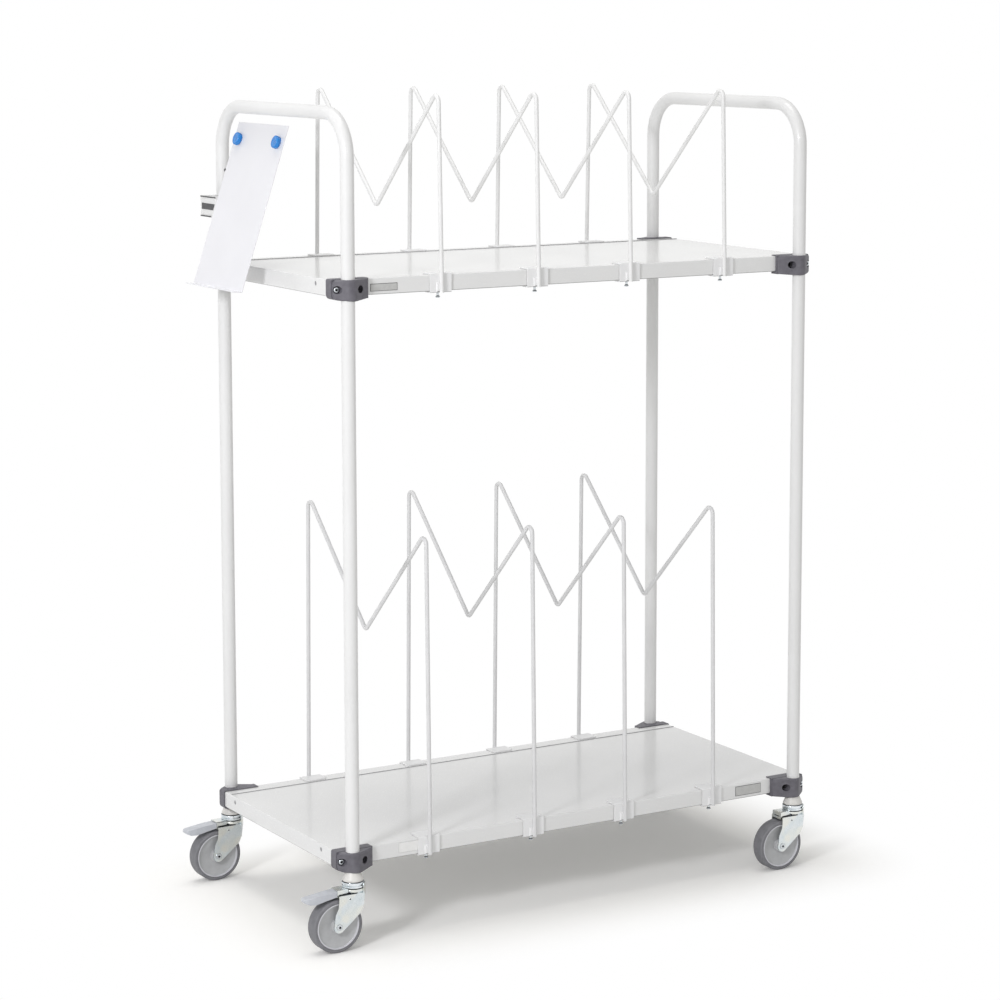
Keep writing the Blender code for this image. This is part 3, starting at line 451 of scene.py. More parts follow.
# The same powder sprayed on the flat trays, where it flows out smoother and mirrors the posts, with
# painted shade on the low faces of its folds that look down.
TRAY_COAT = Finish("polyester_powder_coat_tray", "tray_coating", "#E9E9E8", "#E5E5E4", 240.0, 2.2,
                   0.0012, (0.22, 0.28), ior=1.5, coat=0.30, thin_shade="#8E8E8D",
                   thin_under=-0.027)
# The same powder in a colder white on the document panel, which sets it off from the posts.
PANEL_COAT = Finish("polyester_powder_coat_panel", "tray_coating", "#EAEAED", "#E6E6E9", 160.0, 2.0,
                    0.0015, (0.30, 0.36), ior=1.5, coat=0.10)
# The same powder on the round bar of the lower dividers, with a slightly duller skin and painted
# shade: a greyer copy of the coat for the shade under the upper tray.
SHADED_WIRE_COAT = Finish("polyester_powder_coat_wire", "wire_coating", "#E0E0E0", "#DBDBDB", 60.0, 3.0,
                   0.0006, (0.42, 0.48), ior=1.5)
# The same powder on the bar of the upper dividers, glossier, with painted light: a whiter copy of
# the coat for the light that falls on them.
LIT_WIRE_COAT = Finish("polyester_powder_coat_upper_wire", "wire_coating", "#ECECEB", "#E8E8E7",
                         60.0, 3.0, 0.0006, (0.34, 0.40), ior=1.5)
# The same powder on the folded brackets, with painted shade under their foot.
BRACKET_COAT = Finish("polyester_powder_coat_bracket", "wire_coating", "#F0F0F0", "#ECECEC",
                      60.0, 2.0, 0.0012, (0.34, 0.40), ior=1.5, thin_shade="#8E8E8D",
                      thin_under=-0.027)
# Injection moulded glass-filled polyamide: mid grey with a fine spark-eroded grain, which breaks
# the highlight. The real grain is 0.3 mm and is drawn at 0.9 mm so that it shows.
CLAMP_NYLON = Finish("moulded_polyamide_grey", "clamp_plastic", "#69676E", "#5C5A61", 12.0, 0.9,
                     0.020, (0.42, 0.58), ior=1.53)
# Injection moulded natural polyethylene: cream, waxy and almost without grain.
PLUG_POLYETHYLENE = Finish("moulded_polyethylene_cream", "plug_plastic", "#E4E2DE", "#DAD8D3", 15.0,
                           2.0, 0.006, (0.36, 0.46), ior=1.51)
# The zinc plate carries painted dark bands for the shade and dark reflections at the crown and
# between the ball races.
# Bright zinc plate, passivated: pressed sheet that keeps faint rolling lines and drifts from a
# cold blue to a straw tint. The lines are 0.4 mm apart and drawn at 0.8 mm.
ZINC_PLATE = PassivatedFinish("bright_zinc_plate_passivated", "zinc_plated_steel", "#DFE4E6",
                              "#D3DBDE", 16.0, 0.8, 0.002, (0.20, 0.28), metallic=1.0,
                              lines=(1.0, 1.0, 0.2), straw="#E3E4DE", drift_mm=34.0,
                              grease=(GreaseLine(0.1084, 0.1104, -0.0160, 0.0245),
                                      GreaseLine(0.1163, 0.1180)))
# Zinc plated socket screws: darker and sharper than the sheet, as they are barrel plated.
SCREW_ZINC = Finish("barrel_zinc_plate_screws", "zinc_plated_steel", "#D9DDE0", "#B9BEC2", 3.0, 0.8,
                    0.004, (0.18, 0.30), metallic=1.0)
# Polished ball races: hardened, zinc plated and turned, with a tight highlight and painted dark
# bands for the shade and dark reflections in the gaps between them.
RACE_ZINC = Finish("turned_race_zinc_plate", "zinc_plated_steel", "#E9EDF0", "#CFD6DB", 8.0, 0.6,
                   0.003, (0.12, 0.22), metallic=1.0, lines=(1.0, 1.0, 6.0),
                   grease=(GreaseLine(0.1163, 0.1182), GreaseLine(0.1280, 0.1300)))
# Injection moulded polypropylene wheel centre: grey, slightly cloudy, with a painted highlight on
# its outer ring.
HUB_POLYPROPYLENE = BandedFinish("moulded_polypropylene_grey", "hub_plastic", "#C1C2C3", "#B5B6B7",
                                 22.0, 1.4, 0.006, (0.30, 0.40), ior=1.49, ring="#DADADF",
                                 ring_from=0.0402)
# Thermoplastic rubber tread: grey and matt, faintly dusty, with a fine moulded texture.
TYRE_RUBBER = Finish("thermoplastic_rubber_grey", "tyre_rubber", "#808084", "#747478", 14.0, 1.0,
                     0.030, (0.58, 0.72), ior=1.52)
# Light grey dipped polyamide on the pressed pedal: thick, soft-edged and satin.
PEDAL_COAT = Finish("dipped_polyamide_pale_grey", "pedal_coating", "#CBCED4", "#BFC2C8", 16.0, 1.8,
                    0.010, (0.34, 0.44), ior=1.53)
# Moulded polystyrene cap of the magnets: saturated blue with a clean gloss.
MAGNET_CAP = Finish("moulded_polystyrene_blue", "magnet_plastic", "#1A89DA", "#1276C6", 8.0, 1.5,
                    0.004, (0.22, 0.30), ior=1.59)
# Painted shade in grey: a thin strip along the foot of the bead behind the papers, for its shadow,
# and discs in the holes of the end flanges, for the shade inside them. Matt, so that the strip
# reads as a line and the holes as even grey discs.
PAINTED_SHADE_GREY = Finish("polyurethane_sealant_grey", "clamp_plastic", "#9A9A9B", "#8E8E90",
                       20.0, 2.0, 0.004, (0.50, 0.60))
# Painted shade in near black: the floors of the screw and axle sockets, the sunk inboard screws of
# the clamps and the ends of the caster pins, for the shade inside them; a part-metallic skin.
PAINTED_SHADE_BLACK = Finish("black_oxide_socket", "zinc_plated_steel", "#2A2A2C", "#1C1C1E", 2.0, 0.5,
                     0.004, (0.45, 0.60), metallic=0.6)
# Film of a bare label: plain grey face under a matt laminate.
PLATE_FACE = Finish("bare_label_film_grey", "tray_coating", "#C6C6C4", "#BDBDBB", 10.0, 1.0, 0.002,
                    (0.40, 0.50))
# The dark edge of the film round the bare label, and the dark plastic trims of the holder.
PLATE_EDGE = Finish("bare_label_film_dark", "clamp_plastic", "#4A4A4C", "#3E3E40", 6.0, 1.0, 0.002,
                    (0.40, 0.50))
# White paper film of the blank load label.
LABEL_WHITE = Finish("bare_label_film_white", "tray_coating", "#F4F4F2", "#EDEDEB", 12.0, 1.0,
                     0.002, (0.42, 0.52))


class Form:
    """A closed body in the making, with the shop operations that the trolley's pieces need."""

    def __init__(self, bm: bmesh.types.BMesh | None = None) -> None:
        """Start from a mesh in the making, or from nothing."""
        self.bm = bm or bmesh.new()

    @classmethod
    def block(cls, low: Point, high: Point) -> "Form":
        """Make a box.

        Args:
            low: lowest corner.
            high: highest corner.

        Returns:
            The box.
        """
        form = cls()
        bmesh.ops.create_cube(form.bm, size=1)
        bmesh.ops.scale(form.bm, vec=Vector(high) - Vector(low), verts=form.bm.verts)
        return form.moved((Vector(low) + Vector(high)) / 2)

    @classmethod
    def prism(cls, outline: Sequence[Point], push: Point) -> "Form":
        """Push a flat outline along a vector.

        Args:
            outline: corners of the flat face.
            push: the vector.

        Returns:
            The prism.
        """
        form = cls()
        face = form.bm.faces.new([form.bm.verts.new(point) for point in outline])
        grown = bmesh.ops.extrude_face_region(form.bm, geom=[face])["geom"]
        moved = [item for item in grown if isinstance(item, bmesh.types.BMVert)]
        bmesh.ops.translate(form.bm, vec=Vector(push), verts=moved)
        return form

    @classmethod
    def turned(cls, profile: Outline, steps: int, closed: bool = False) -> "Form":
        """Turn a profile round the Z axis.

        Args:
            profile: radius and height of each point.
            steps: facets in a full turn.
            closed: whether the profile closes on itself, as for a ring.

        Returns:
            The turned body.
        """
        form = cls()
        verts = [form.bm.verts.new((radius, 0, height)) for radius, height in profile]
        edges = [form.bm.edges.new(pair) for pair in zip(verts, verts[1:])]
        if closed:
            edges.append(form.bm.edges.new((verts[-1], verts[0])))
        bmesh.ops.spin(form.bm, geom=[*verts, *edges], axis=(0, 0, 1), cent=(0, 0, 0),
                       angle=math.tau, steps=steps, use_merge=True)
        return form

    @classmethod
    def rod(cls, radius: float, low: float, high: float, sides: int) -> "Form":
        """Make a round bar on the Z axis.

        Args:
            radius: radius of the bar.
            low: height of its foot.
            high: height of its top.
            sides: facets in a full turn.

        Returns:
            The bar.
        """
        return cls.turned(((0, low), (radius, low), (radius, high), (0, high)), sides)

    @classmethod
    def swept(cls, path: Outline, radius: float, sides: int, wall: float = 0.0) -> "Form":
        """Run bar, or tube where it has a wall, along a path in the YZ plane.

        Args:
            path: (y, z) of each point of the centreline.
            radius: outer radius.
            sides: facets round the section.
            wall: wall of a tube, or nothing for solid bar.

        Returns:
            The bar or tube.
        """
        form = cls()
        points = [Vector((0, y, z)) for y, z in path]
        skins = (radius, radius - wall) if wall else (radius,)
        rings = [[form.ring(points, i, skin, sides) for i in range(len(points))] for skin in skins]
        for skin in rings:
            for near, far in zip(skin, skin[1:]):
                form.bridge(near, far)
        for end in (0, -1):
            if wall:
                form.bridge(rings[0][end], rings[1][end])
            else:
                form.bm.faces.new(rings[0][end])
        return form

    def ring(self, points: Sequence[Vector], index: int, radius: float,
             sides: int) -> list[bmesh.types.BMVert]:
        """Add one ring of vertices square to a path.

        Args:
            points: the path.
            index: which of its points.
            radius: radius of the ring.
            sides: vertices in the ring.

        Returns:
            The vertices in order.
        """
        before, after = points[max(index - 1, 0)], points[min(index + 1, len(points) - 1)]
        across = Vector((1, 0, 0))
        up = (after - before).normalized().cross(across)
        angles = [math.tau * i / sides for i in range(sides)]
        spokes = [math.cos(angle) * across + math.sin(angle) * up for angle in angles]
        return [self.bm.verts.new(points[index] + radius * spoke) for spoke in spokes]

    def bridge(self, near: Sequence[bmesh.types.BMVert], far: Sequence[bmesh.types.BMVert]) -> None:
        """Join two rings of the same count with a band of faces."""
        for i in range(len(near)):
            self.bm.faces.new((near[i - 1], near[i], far[i], far[i - 1]))

    def moved(self, by: Point) -> "Form":
        """Shift the body and return it."""
        bmesh.ops.translate(self.bm, vec=Vector(by), verts=self.bm.verts)
        return self

    def along(self, axis: Point, place: Point = (0, 0, 0)) -> "Form":
        """Lay a body made on the Z axis along another axis.

        Args:
            axis: the new axis.
            place: where the old origin goes.

        Returns:
            The same body.
        """
        spin = Vector((0, 0, 1)).rotation_difference(Vector(axis)).to_matrix().to_4x4()
        bmesh.ops.transform(self.bm, matrix=Matrix.Translation(place) @ spin, verts=self.bm.verts)
        return self

    def half_turned(self) -> "Form":
        """Turn the body half way round the Z axis.

        Returns:
            The same body.
        """
        bmesh.ops.rotate(self.bm, cent=(0, 0, 0), matrix=Matrix.Rotation(math.pi, 3, "Z"),
                         verts=self.bm.verts)
        return self

    def mirrored(self) -> "Form":
        """Make the body's other hand, mirrored along X.

        Returns:
            The same body.
        """
        bmesh.ops.scale(self.bm, vec=(-1, 1, 1), verts=self.bm.verts)
        bmesh.ops.reverse_faces(self.bm, faces=self.bm.faces)
        return self

    def rounded(self, radius: float, steps: int,
                chosen: Callable[[Vector, Vector], bool]) -> "Form":
        """Round the edges that a test picks.

        Args:
            radius: reach of the rounding.
            steps: facets across it.
            chosen: test of an edge by the positions of its two ends.

        Returns:
            The same body.
        """
        edges = [edge for edge in self.bm.edges if chosen(edge.verts[0].co, edge.verts[1].co)]
        bmesh.ops.bevel(self.bm, geom=edges, offset=radius, segments=steps, affect="EDGES",
                        profile=ROUND_PROFILE, clamp_overlap=True)
        return self

    def combined(self, tools: Sequence["Form"], operation: str) -> "Form":
        """Unite the tools with the body, or cut them from it, in turn.

        Args:
            tools: the other bodies, which are used up.
            operation: Blender's name of the Boolean operation.

        Returns:
            The new body.
        """
        body = bpy.data.objects.new("work", self.mesh("work"))
        helpers = [bpy.data.objects.new("tool", tool.mesh("tool")) for tool in tools]
        for item in (body, *helpers):
            bpy.context.scene.collection.objects.link(item)
        for helper in helpers:
            step = body.modifiers.new(operation, "BOOLEAN")
            step.operation = operation
            step.solver = "EXACT"
            step.object = helper
        bm = bmesh.new()
        bm.from_object(body, bpy.context.evaluated_depsgraph_get())
        for item in (body, *helpers):
            data = item.data
            bpy.data.objects.remove(item, do_unlink=True)
            bpy.data.meshes.remove(data)
        bmesh.ops.remove_doubles(bm, verts=bm.verts, dist=MERGE_DISTANCE)
        bmesh.ops.dissolve_limit(bm, angle_limit=FLAT_BELOW, verts=bm.verts, edges=bm.edges)
        return Form(bm)

    def cut(self, *tools: "Form") -> "Form":
        """Cut each tool from the body."""
        return self.combined(tools, "DIFFERENCE")

    def united(self, *others: "Form") -> "Form":
        """Weld each other body to this one."""
        return self.combined(others, "UNION")

    def beside(self, *others: "Form") -> "Form":
        """Keep other bodies beside this one in the same mesh.

        Args:
            others: the other bodies, which are used up.

        Returns:
            The same body.
        """
        for other in others:
            spare = other.mesh("spare")
            self.bm.from_mesh(spare)
            bpy.data.meshes.remove(spare)
        return self

    def mesh(self, name: str) -> bpy.types.Mesh:
        """Close the work and turn it into mesh data.

        Args:
            name: name of the mesh.

        Returns:
            The mesh, shaded smooth but for its sharp edges.
        """
        bmesh.ops.remove_doubles(self.bm, verts=self.bm.verts, dist=MERGE_DISTANCE)
        bmesh.ops.recalc_face_normals(self.bm, faces=self.bm.faces)
        made = bpy.data.meshes.new(name)
        self.bm.to_mesh(made)
        self.bm.free()
        made.shade_smooth()
        made.set_sharp_from_angle(angle=SMOOTH_BELOW)
        return made


def arc(centre: tuple[float, float], radius: float, start: float, end: float,
        steps: int) -> list[tuple[float, float]]:
    """Return the points of an arc in a plane, both ends included.

    Args:
        centre: centre of the arc.
        radius: its radius.
        start: first angle.
        end: last angle.
        steps: spans between the points.

    Returns:
        The points.
    """
    angles = [start + (end - start) * i / steps for i in range(steps + 1)]
    return [(centre[0] + radius * math.cos(a), centre[1] + radius * math.sin(a)) for a in angles]


def both_sides(side: Outline) -> list[tuple[float, float]]:
    """Close the profile of a turned body that is alike on both sides of its middle.

    Args:
        side: radius and height of each point of the upper side, from the inside out.

    Returns:
        The points of both sides.
    """
    return [*side, *[(radius, -height) for radius, height in reversed(side)]]


def middle_x() -> float:
    """Return the place along X half way between the left and the right posts."""
    return (Side.LEFT.x + Side.RIGHT.x) / 2


class SubAssembly(ABC):
    """A group of pieces that is built and dressed together."""

    @abstractmethod
    def build(self) -> None:
        """Make the pieces and set them on their bodies."""

    def piece(self, name: str, mesh: bpy.types.Mesh, finish: Finish, body: str,
              place: Point = (0, 0, 0), turn: float = 0.0, replaces: Sequence[str] = (),
              edge: float = 0.0) -> bpy.types.Object:
        """Set one piece in its place and let it ride on its body.

        Args:
            name: name of the piece.
            mesh: its mesh, about the place's origin.
            finish: its surface.
            body: body that carries it.
            place: where its origin goes.
            turn: turn about the Z axis.
            replaces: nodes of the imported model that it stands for.
            edge: width of the small rounding on its sharp edges.

        Returns:
            The piece.
        """
        mesh.materials.clear()
        mesh.materials.append(finish.material())
        made = bpy.data.objects.new(name, mesh)
        bpy.context.scene.collection.objects.link(made)
        made.location = place
        made.rotation_euler = (0, 0, turn)
        if edge:
            soft = made.modifiers.new("edge", "BEVEL")
            soft.width = edge
            soft.segments = 2
            soft.limit_method = "ANGLE"
            soft.angle_limit = SMOOTH_BELOW
            soft.harden_normals = False
        shade = made.modifiers.new("shade", "WEIGHTED_NORMAL")
        shade.keep_sharp = not edge
        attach(made, body)
        if replaces:
            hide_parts(*replaces)
        log.info("%s rides on %s", name, body)
        return made


@dataclass
class EndFrame(SubAssembly):
    """One push end, bent from a single tube to an upside-down U."""

    side: Side
    tube_radius: float = 0.0127
    wall: float = 0.0015
    bend_radius: float = 0.080
    bend_steps: int = 14
    sides: int = 40
    hole_height: float = 1.411
    hole_radius: float = 0.0030

    def mesh(self) -> bpy.types.Mesh:
        """Run the tube from foot to foot over the rail.

        Returns:
            The mesh, about the middle of the posts.
        """
        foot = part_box(f"{self.side.value}_end_frame")[0].z
        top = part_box(f"{self.side.value}_end_frame")[1].z
        half = Corner.REAR_LEFT.post.y
        rail = top - self.tube_radius
        centre = (half - self.bend_radius, rail - self.bend_radius)
        near = arc(centre, self.bend_radius, 0, QUARTER_TURN, self.bend_steps)
        far = [(-y, z) for y, z in reversed(near)]
        path = [(half, foot), *near, *far, (-half, foot)]
        tube = Form.swept(path, self.tube_radius, self.sides, self.wall)
        if self.side is Side.LEFT:
            drill = Form.rod(self.hole_radius, 0, self.tube_radius * 2, self.sides // 2)
            tube = tube.cut(drill.along((0, -1, 0), (0, half, self.hole_height)))
        return tube.mesh(f"{self.side.value}_tube")

    def build(self) -> None:
        """Set the tube in place of its node."""
        self.piece(f"{self.side.value}_push_end", self.mesh(), TUBE_COAT, "frame",
                   (self.side.x, 0, 0), replaces=[f"{self.side.value}_end_frame"])


@dataclass
class Tray(SubAssembly):
    """A tray turned face down: top sheet, four flanges and the return fold inside each."""

    level: Level
    sheet: float = 0.0013
    fold: float = 0.020
    bend: float = 0.0022
    bend_steps: int = 4
    seam_from_edge: float = 0.0354
    seam_width: float = 0.0018
    seam_depth: float = 0.0008
    bead_width: float = 0.0018
    bead_height: float = 0.0014
    sealant_height: float = 0.0012
    sealant_depth: float = 0.0008
    hole_radius: float = 0.0041
    hole_from_corner: float = 0.059
    hole_below_top: float = 0.0102
    hole_sides: int = 24

    def mesh(self, size: Vector) -> bpy.types.Mesh:
        """Fold the tray.

        Args:
            size: length, depth and height of the tray.

        Returns:
            The mesh, about the middle of the top face.
        """
        x, y, flange = size.x / 2, size.y / 2, size.z
        tray = Form.block((-x, -y, -flange), (x, y, 0))
        tray.rounded(self.bend, self.bend_steps, lambda a, b: True)
        sheet, fold, seam = self.sheet, self.sheet + self.fold, y - self.seam_from_edge
        tools = [
            Form.block((sheet - x, sheet - y, sheet - flange), (x - sheet, y - sheet, -sheet)),
            Form.block((fold - x, fold - y, -flange - sheet), (x - fold, y - fold, -sheet * 2)),
            Form.block((-x - sheet, seam - self.seam_width / 2, -self.seam_depth),
                       (x + sheet, seam + self.seam_width / 2, self.seam_depth)),
            *self.rods(self.hole_radius, -self.bend * 2, self.bend * 2, x, y),
        ]
        return tray.cut(*tools).united(self.bead(x, y)).mesh(f"{self.level.value}_tray")

    def rods(self, radius: float, low: float, high: float, x: float, y: float) -> list[Form]:
        """Lay a rod in the place of each hole of the end flanges.

        Args:
            radius: radius of the rods.
            low: where each starts, outward from the flange's face.
            high: where each ends.
            x: half the tray's length.
            y: half its depth.

        Returns:
            The four rods.
        """
        rods = []
        for side in (-1, 1):
            for row in (-1, 1):
                rod = Form.rod(radius, low, high, self.hole_sides)
                place = (side * x, row * (y - self.hole_from_corner), -self.hole_below_top)
                rods.append(rod.along((side, 0, 0), place))
        return rods

    def strip(self, outline: Outline, x: float) -> Form:
        """Run a section along the tray, short of its bends.

        Args:
            outline: (y, z) of each corner of the section.
            x: half the tray's length.

        Returns:
            The strip.
        """
        start = self.bend - x
        return Form.prism([(start, across, up) for across, up in outline], (-start * 2, 0, 0))

    def bead(self, x: float, y: float) -> Form:
        """Raise the bead before the seam, which keeps papers from sliding under the lips.

        Args:
            x: half the tray's length.
            y: half its depth.

        Returns:
            The bead.
        """
        rear = y - self.seam_from_edge - self.seam_width / 2
        front = rear - self.bead_width
        soft = self.bead_width / 4
        outline = ((front, -self.sheet / 2), (front, self.bead_height - soft),
                   (front + soft, self.bead_height), (rear - soft, self.bead_height),
                   (rear, self.bead_height - soft), (rear, -self.sheet / 2))
        return self.strip(outline, x)

    def sealant(self, x: float, y: float) -> Form:
        """Run a thin strip of painted shade along the foot of the bead, for the shadow that falls
        there.

        Args:
            x: half the tray's length.
            y: half its depth.

        Returns:
            The line.
        """
        rear = y - self.seam_from_edge - self.seam_width / 2 - self.bead_width
        return self.strip(((rear - self.sealant_depth, 0), (rear, self.sealant_height),
                           (rear + HAIRLINE, 0)), x)

    def caps(self, x: float, y: float) -> Form:
        """Set flat discs of painted shade in the holes of the end flanges, just below their face,
        for the shade inside the holes.

        Args:
            x: half the tray's length.
            y: half its depth.

        Returns:
            The four discs.
        """
        return Form().beside(*self.rods(self.hole_radius + HAIRLINE, -self.sheet, -self.sheet / 3,
                                        x, y))

    def build(self) -> None:
        """Set the tray in place of its node."""
        low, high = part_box(self.level.tray)
        size, name = high - low, f"{self.level.value}_tray"
        middle = Vector(((low.x + high.x) / 2, 0, high.z))
        self.piece(name, self.mesh(size), TRAY_COAT, "frame", middle, replaces=[self.level.tray])
        half = (size.x / 2, size.y / 2)
        # Painted shade: the grey strip at the foot of the bead and the grey discs in the holes.
        self.piece(f"{name}_sealant", self.sealant(*half).mesh("sealant"), PAINTED_SHADE_GREY, "frame",
                   middle)
        self.piece(f"{name}_hole_caps", self.caps(*half).mesh("caps"), PAINTED_SHADE_GREY, "frame",
                   middle)


@dataclass
class CornerClamps(SubAssembly):
    """The eight corner clamps: a seat on the tray, a half-moon shell outside and two screws."""

    above_tray: float = 0.0020
    height: float = 0.0373
    shell_drop: float = 0.0007
    split: float = 0.0087
    seat_depth: float = 0.0203
    seat_inboard: float = 0.0460
    seat_outboard: float = 0.0300
    tray_end: float = 0.0273
    tray_edge: float = 0.0157
    flange: float = 0.0308
    circles: tuple[tuple[float, float, float], ...] = (
        (-0.0030, 0.0, 0.0160), (0.0185, -0.0090, 0.0100), (-0.0415, -0.0095, 0.0040))
    rim_radius: float = 0.0018
    rim_steps: int = 4
    belly: float = 0.0022
    end_rise: float = 0.0006
    end_rounds: tuple[float, float] = (0.0090, 0.0040)
    seat_rounds: tuple[float, float] = (0.0040, 0.0088)
    flare: float = 0.0024
    arc_steps: int = 48
    bore_radius: float = 0.0128
    screw_from_post: float = 0.02175
    screw_hole: float = 0.0033
    recess_radius: float = 0.00725
    recess_floor: float = 0.0025
    head_radius: float = 0.0050
    head_height: float = 0.0036
    socket_radius: float = 0.0029
    socket_depth: float = 0.0024
    hole_sides: int = 32
    mould_edge: float = 0.0005

    @property
    def bottom(self) -> float:
        """Height of the clamp's foot from the tray's face."""
        return self.above_tray - self.height

    @property
    def middle(self) -> float:
        """Height of the screws from the tray's face."""
        return self.above_tray - self.height / 2

    def foot(self, x: float) -> float:
        """Return the height of the shell's lower rim, which sags under the post.

        Args:
            x: place along the shell from the post's axis.

        Returns:
            The height from the tray's face.
        """
        outboard, inboard = self.circles[1], self.circles[2]
        right, left = outboard[0] + outboard[2], inboard[0] - inboard[2]
        share = (2 * x - right - left) / (right - left)
        return self.bottom - self.belly + (self.belly + self.end_rise) * share ** 2

    def curl(self, x: float) -> float:
        """Return how far the shell's rims draw in where its two ends round off.

        Args:
            x: place along the shell from the post's axis.

        Returns:
            The depth.
        """
        outboard, inboard = self.circles[1], self.circles[2]
        gaps = (outboard[0] + outboard[2] - x, x - inboard[0] + inboard[2])
        return sum(radius - math.sqrt(max(radius ** 2 - (radius - gap) ** 2, 0.0))
                   for gap, radius in zip(gaps, self.end_rounds) if gap < radius)

    def bores(self) -> list[Form]:
        """Make the tools for the post bore and the two screw holes.

        Returns:
            The three tools.
        """
        tools = [Form.rod(self.bore_radius, -THROUGH, THROUGH, self.hole_sides)]
        for side in (-1, 1):
            drill = Form.rod(self.screw_hole, -THROUGH, THROUGH, self.hole_sides)
            tools.append(drill.along((0, 1, 0), (side * self.screw_from_post, 0, self.middle)))
        return tools

    def seat(self) -> Form:
        """Make the inner half, with lips over and under the tray and round its end.

        Returns:
            The seat of the right hand, about the post's axis at the tray's face.
        """
        seat = Form.block((-self.seat_inboard, -self.split - self.seat_depth, self.bottom),
                          (self.seat_outboard, -self.split, self.above_tray))
        for radius, level in zip(self.seat_rounds, (self.above_tray, self.bottom)):
            seat.rounded(radius, self.rim_steps * 2,
                         lambda a, b: min(a.x, b.x) > self.seat_outboard - HAIRLINE
                         and max(abs(a.z - level), abs(b.z - level)) < HAIRLINE)
        room = Form.block((-THROUGH, -THROUGH, -self.flange),
                          (self.tray_end, -self.tray_edge, HAIRLINE))
        return seat.cut(room, *self.bores())

    def shell(self) -> Form:
        """Make the outer half: a half moon drawn tightly round three circles, with soft rims.

        Returns:
            The shell of the right hand, about the post's axis at the tray's face.
        """
        top = self.above_tray - self.shell_drop
        hull = Form()
        for x, y, radius in self.circles:
            for step in range(self.rim_steps + 1):
                angle = QUARTER_TURN * step / self.rim_steps
                inset = self.rim_radius * (1 - math.sin(angle))
                drop = self.rim_radius * (1 - math.cos(angle))
                for px, py in arc((x, y), radius - inset, 0, math.tau, self.arc_steps)[1:]:
                    hull.bm.verts.new((px, py, top - drop - self.curl(px)))
                    hull.bm.verts.new((px, py, self.foot(px) + drop + self.curl(px)))
        made = bmesh.ops.convex_hull(hull.bm, input=hull.bm.verts)
        spare = [item for item in made["geom_interior"] + made["geom_unused"]
                 if isinstance(item, bmesh.types.BMVert)]
        bmesh.ops.delete(hull.bm, geom=list(set(spare)), context="VERTS")
        inner_side = Form.block((-THROUGH, -THROUGH, -THROUGH),
                                (THROUGH, HAIRLINE - self.split, THROUGH))
        recesses = []
        for side in (-1, 1):
            recess = Form.rod(self.recess_radius, self.recess_floor - self.split, THROUGH,
                              self.hole_sides)
            recesses.append(recess.along((0, 1, 0), (side * self.screw_from_post, 0, self.middle)))
        low = self.bottom - self.belly - self.rim_radius
        flare = Form.turned(((0, low), (self.bore_radius + self.flare, low),
                             (self.bore_radius, self.bottom), (0, self.bottom)), self.hole_sides)
        return hull.cut(inner_side, *self.bores(), *recesses, flare)

    def screw(self, side: int, sink: float) -> Form:
        """Make one socket screw of a clamp.

        Args:
            side: 1 at the outboard end, -1 at the inboard end.
            sink: how far its face lies below a full head.

        Returns:
            The screw, about the post's axis at the tray's face.
        """
        floor = self.recess_floor - self.split + HAIRLINE
        face, crown = floor + self.head_height - sink, HAIRLINE * 2
        head = Form.turned(((0, -self.split - self.seat_depth / 2),
                            (self.screw_hole - HAIRLINE * 2, -self.split - self.seat_depth / 2),
                            (self.screw_hole - HAIRLINE * 2, floor), (self.head_radius, floor),
                            (self.head_radius, face - crown), (self.head_radius - crown, face),
                            (0, face)), self.hole_sides)
        socket = Form.rod(self.socket_radius, face - self.socket_depth, face + crown, HEXAGON)
        return head.cut(socket).along((0, 1, 0), (side * self.screw_from_post, 0, self.middle))

    def socket_floor(self) -> Form:
        """Make the floor in the socket of the outboard screw, which carries painted shade.

        Returns:
            The floor, about the post's axis at the tray's face.
        """
        face = self.recess_floor - self.split + HAIRLINE + self.head_height
        floor = Form.rod(self.socket_radius - HAIRLINE, face - self.socket_depth + HAIRLINE,
                         face - HAIRLINE * 2, HEXAGON)
        return floor.along((0, 1, 0), (self.screw_from_post, 0, self.middle))

    def handed(self, right: Form, hand: Hand, name: str) -> bpy.types.Mesh:
        """Turn a right-hand form into the mesh of either hand.

        Args:
            right: the form of the right hand.
            hand: the hand that is wanted.
            name: name of the mesh.

        Returns:
            The mesh.
        """
        form = right if hand is Hand.RIGHT else right.mirrored()
        return form.mesh(f"{name}_{hand.name.lower()}")

    def black_screw(self) -> Form:
        """Return the sunk inboard screw and the floor of the outboard screw's socket, which carry
        painted shade for the recess and the socket.
        """
        return self.screw(-1, self.head_height / 3).beside(self.socket_floor())

    def build(self) -> None:
        """Set a seat, a shell and its screws at each corner of each tray."""
        seats = {hand: self.handed(self.seat(), hand, "seat") for hand in Hand}
        shells = {hand: self.handed(self.shell(), hand, "shell") for hand in Hand}
        plated = {hand: self.handed(self.screw(1, 0.0), hand, "plated_screw") for hand in Hand}
        black = {hand: self.handed(self.black_screw(), hand, "black_screw") for hand in Hand}
        for level in Level:
            for corner in Corner:
                hand = Hand(corner.value[0] * corner.value[1])
                turn = 0.0 if corner.value[1] > 0 else math.pi
                place = corner.post + Vector((0, 0, level.top))
                name = f"{level.value}_{corner.label}_clamp"
                self.piece(f"{name}_inner", seats[hand], CLAMP_NYLON, "frame", place, turn,
                           [f"{name}_seat"], self.mould_edge)
                self.piece(f"{name}_outer", shells[hand], CLAMP_NYLON, "frame", place, turn,
                           [f"{name}_shell"], self.mould_edge)
                self.piece(f"{name}_plated_screw", plated[hand], SCREW_ZINC, "frame", place, turn)
                # Painted shade: the sunk inboard screw and the outboard socket floor are near
                # black.
                self.piece(f"{name}_black_screw", black[hand], PAINTED_SHADE_BLACK, "frame", place, turn)


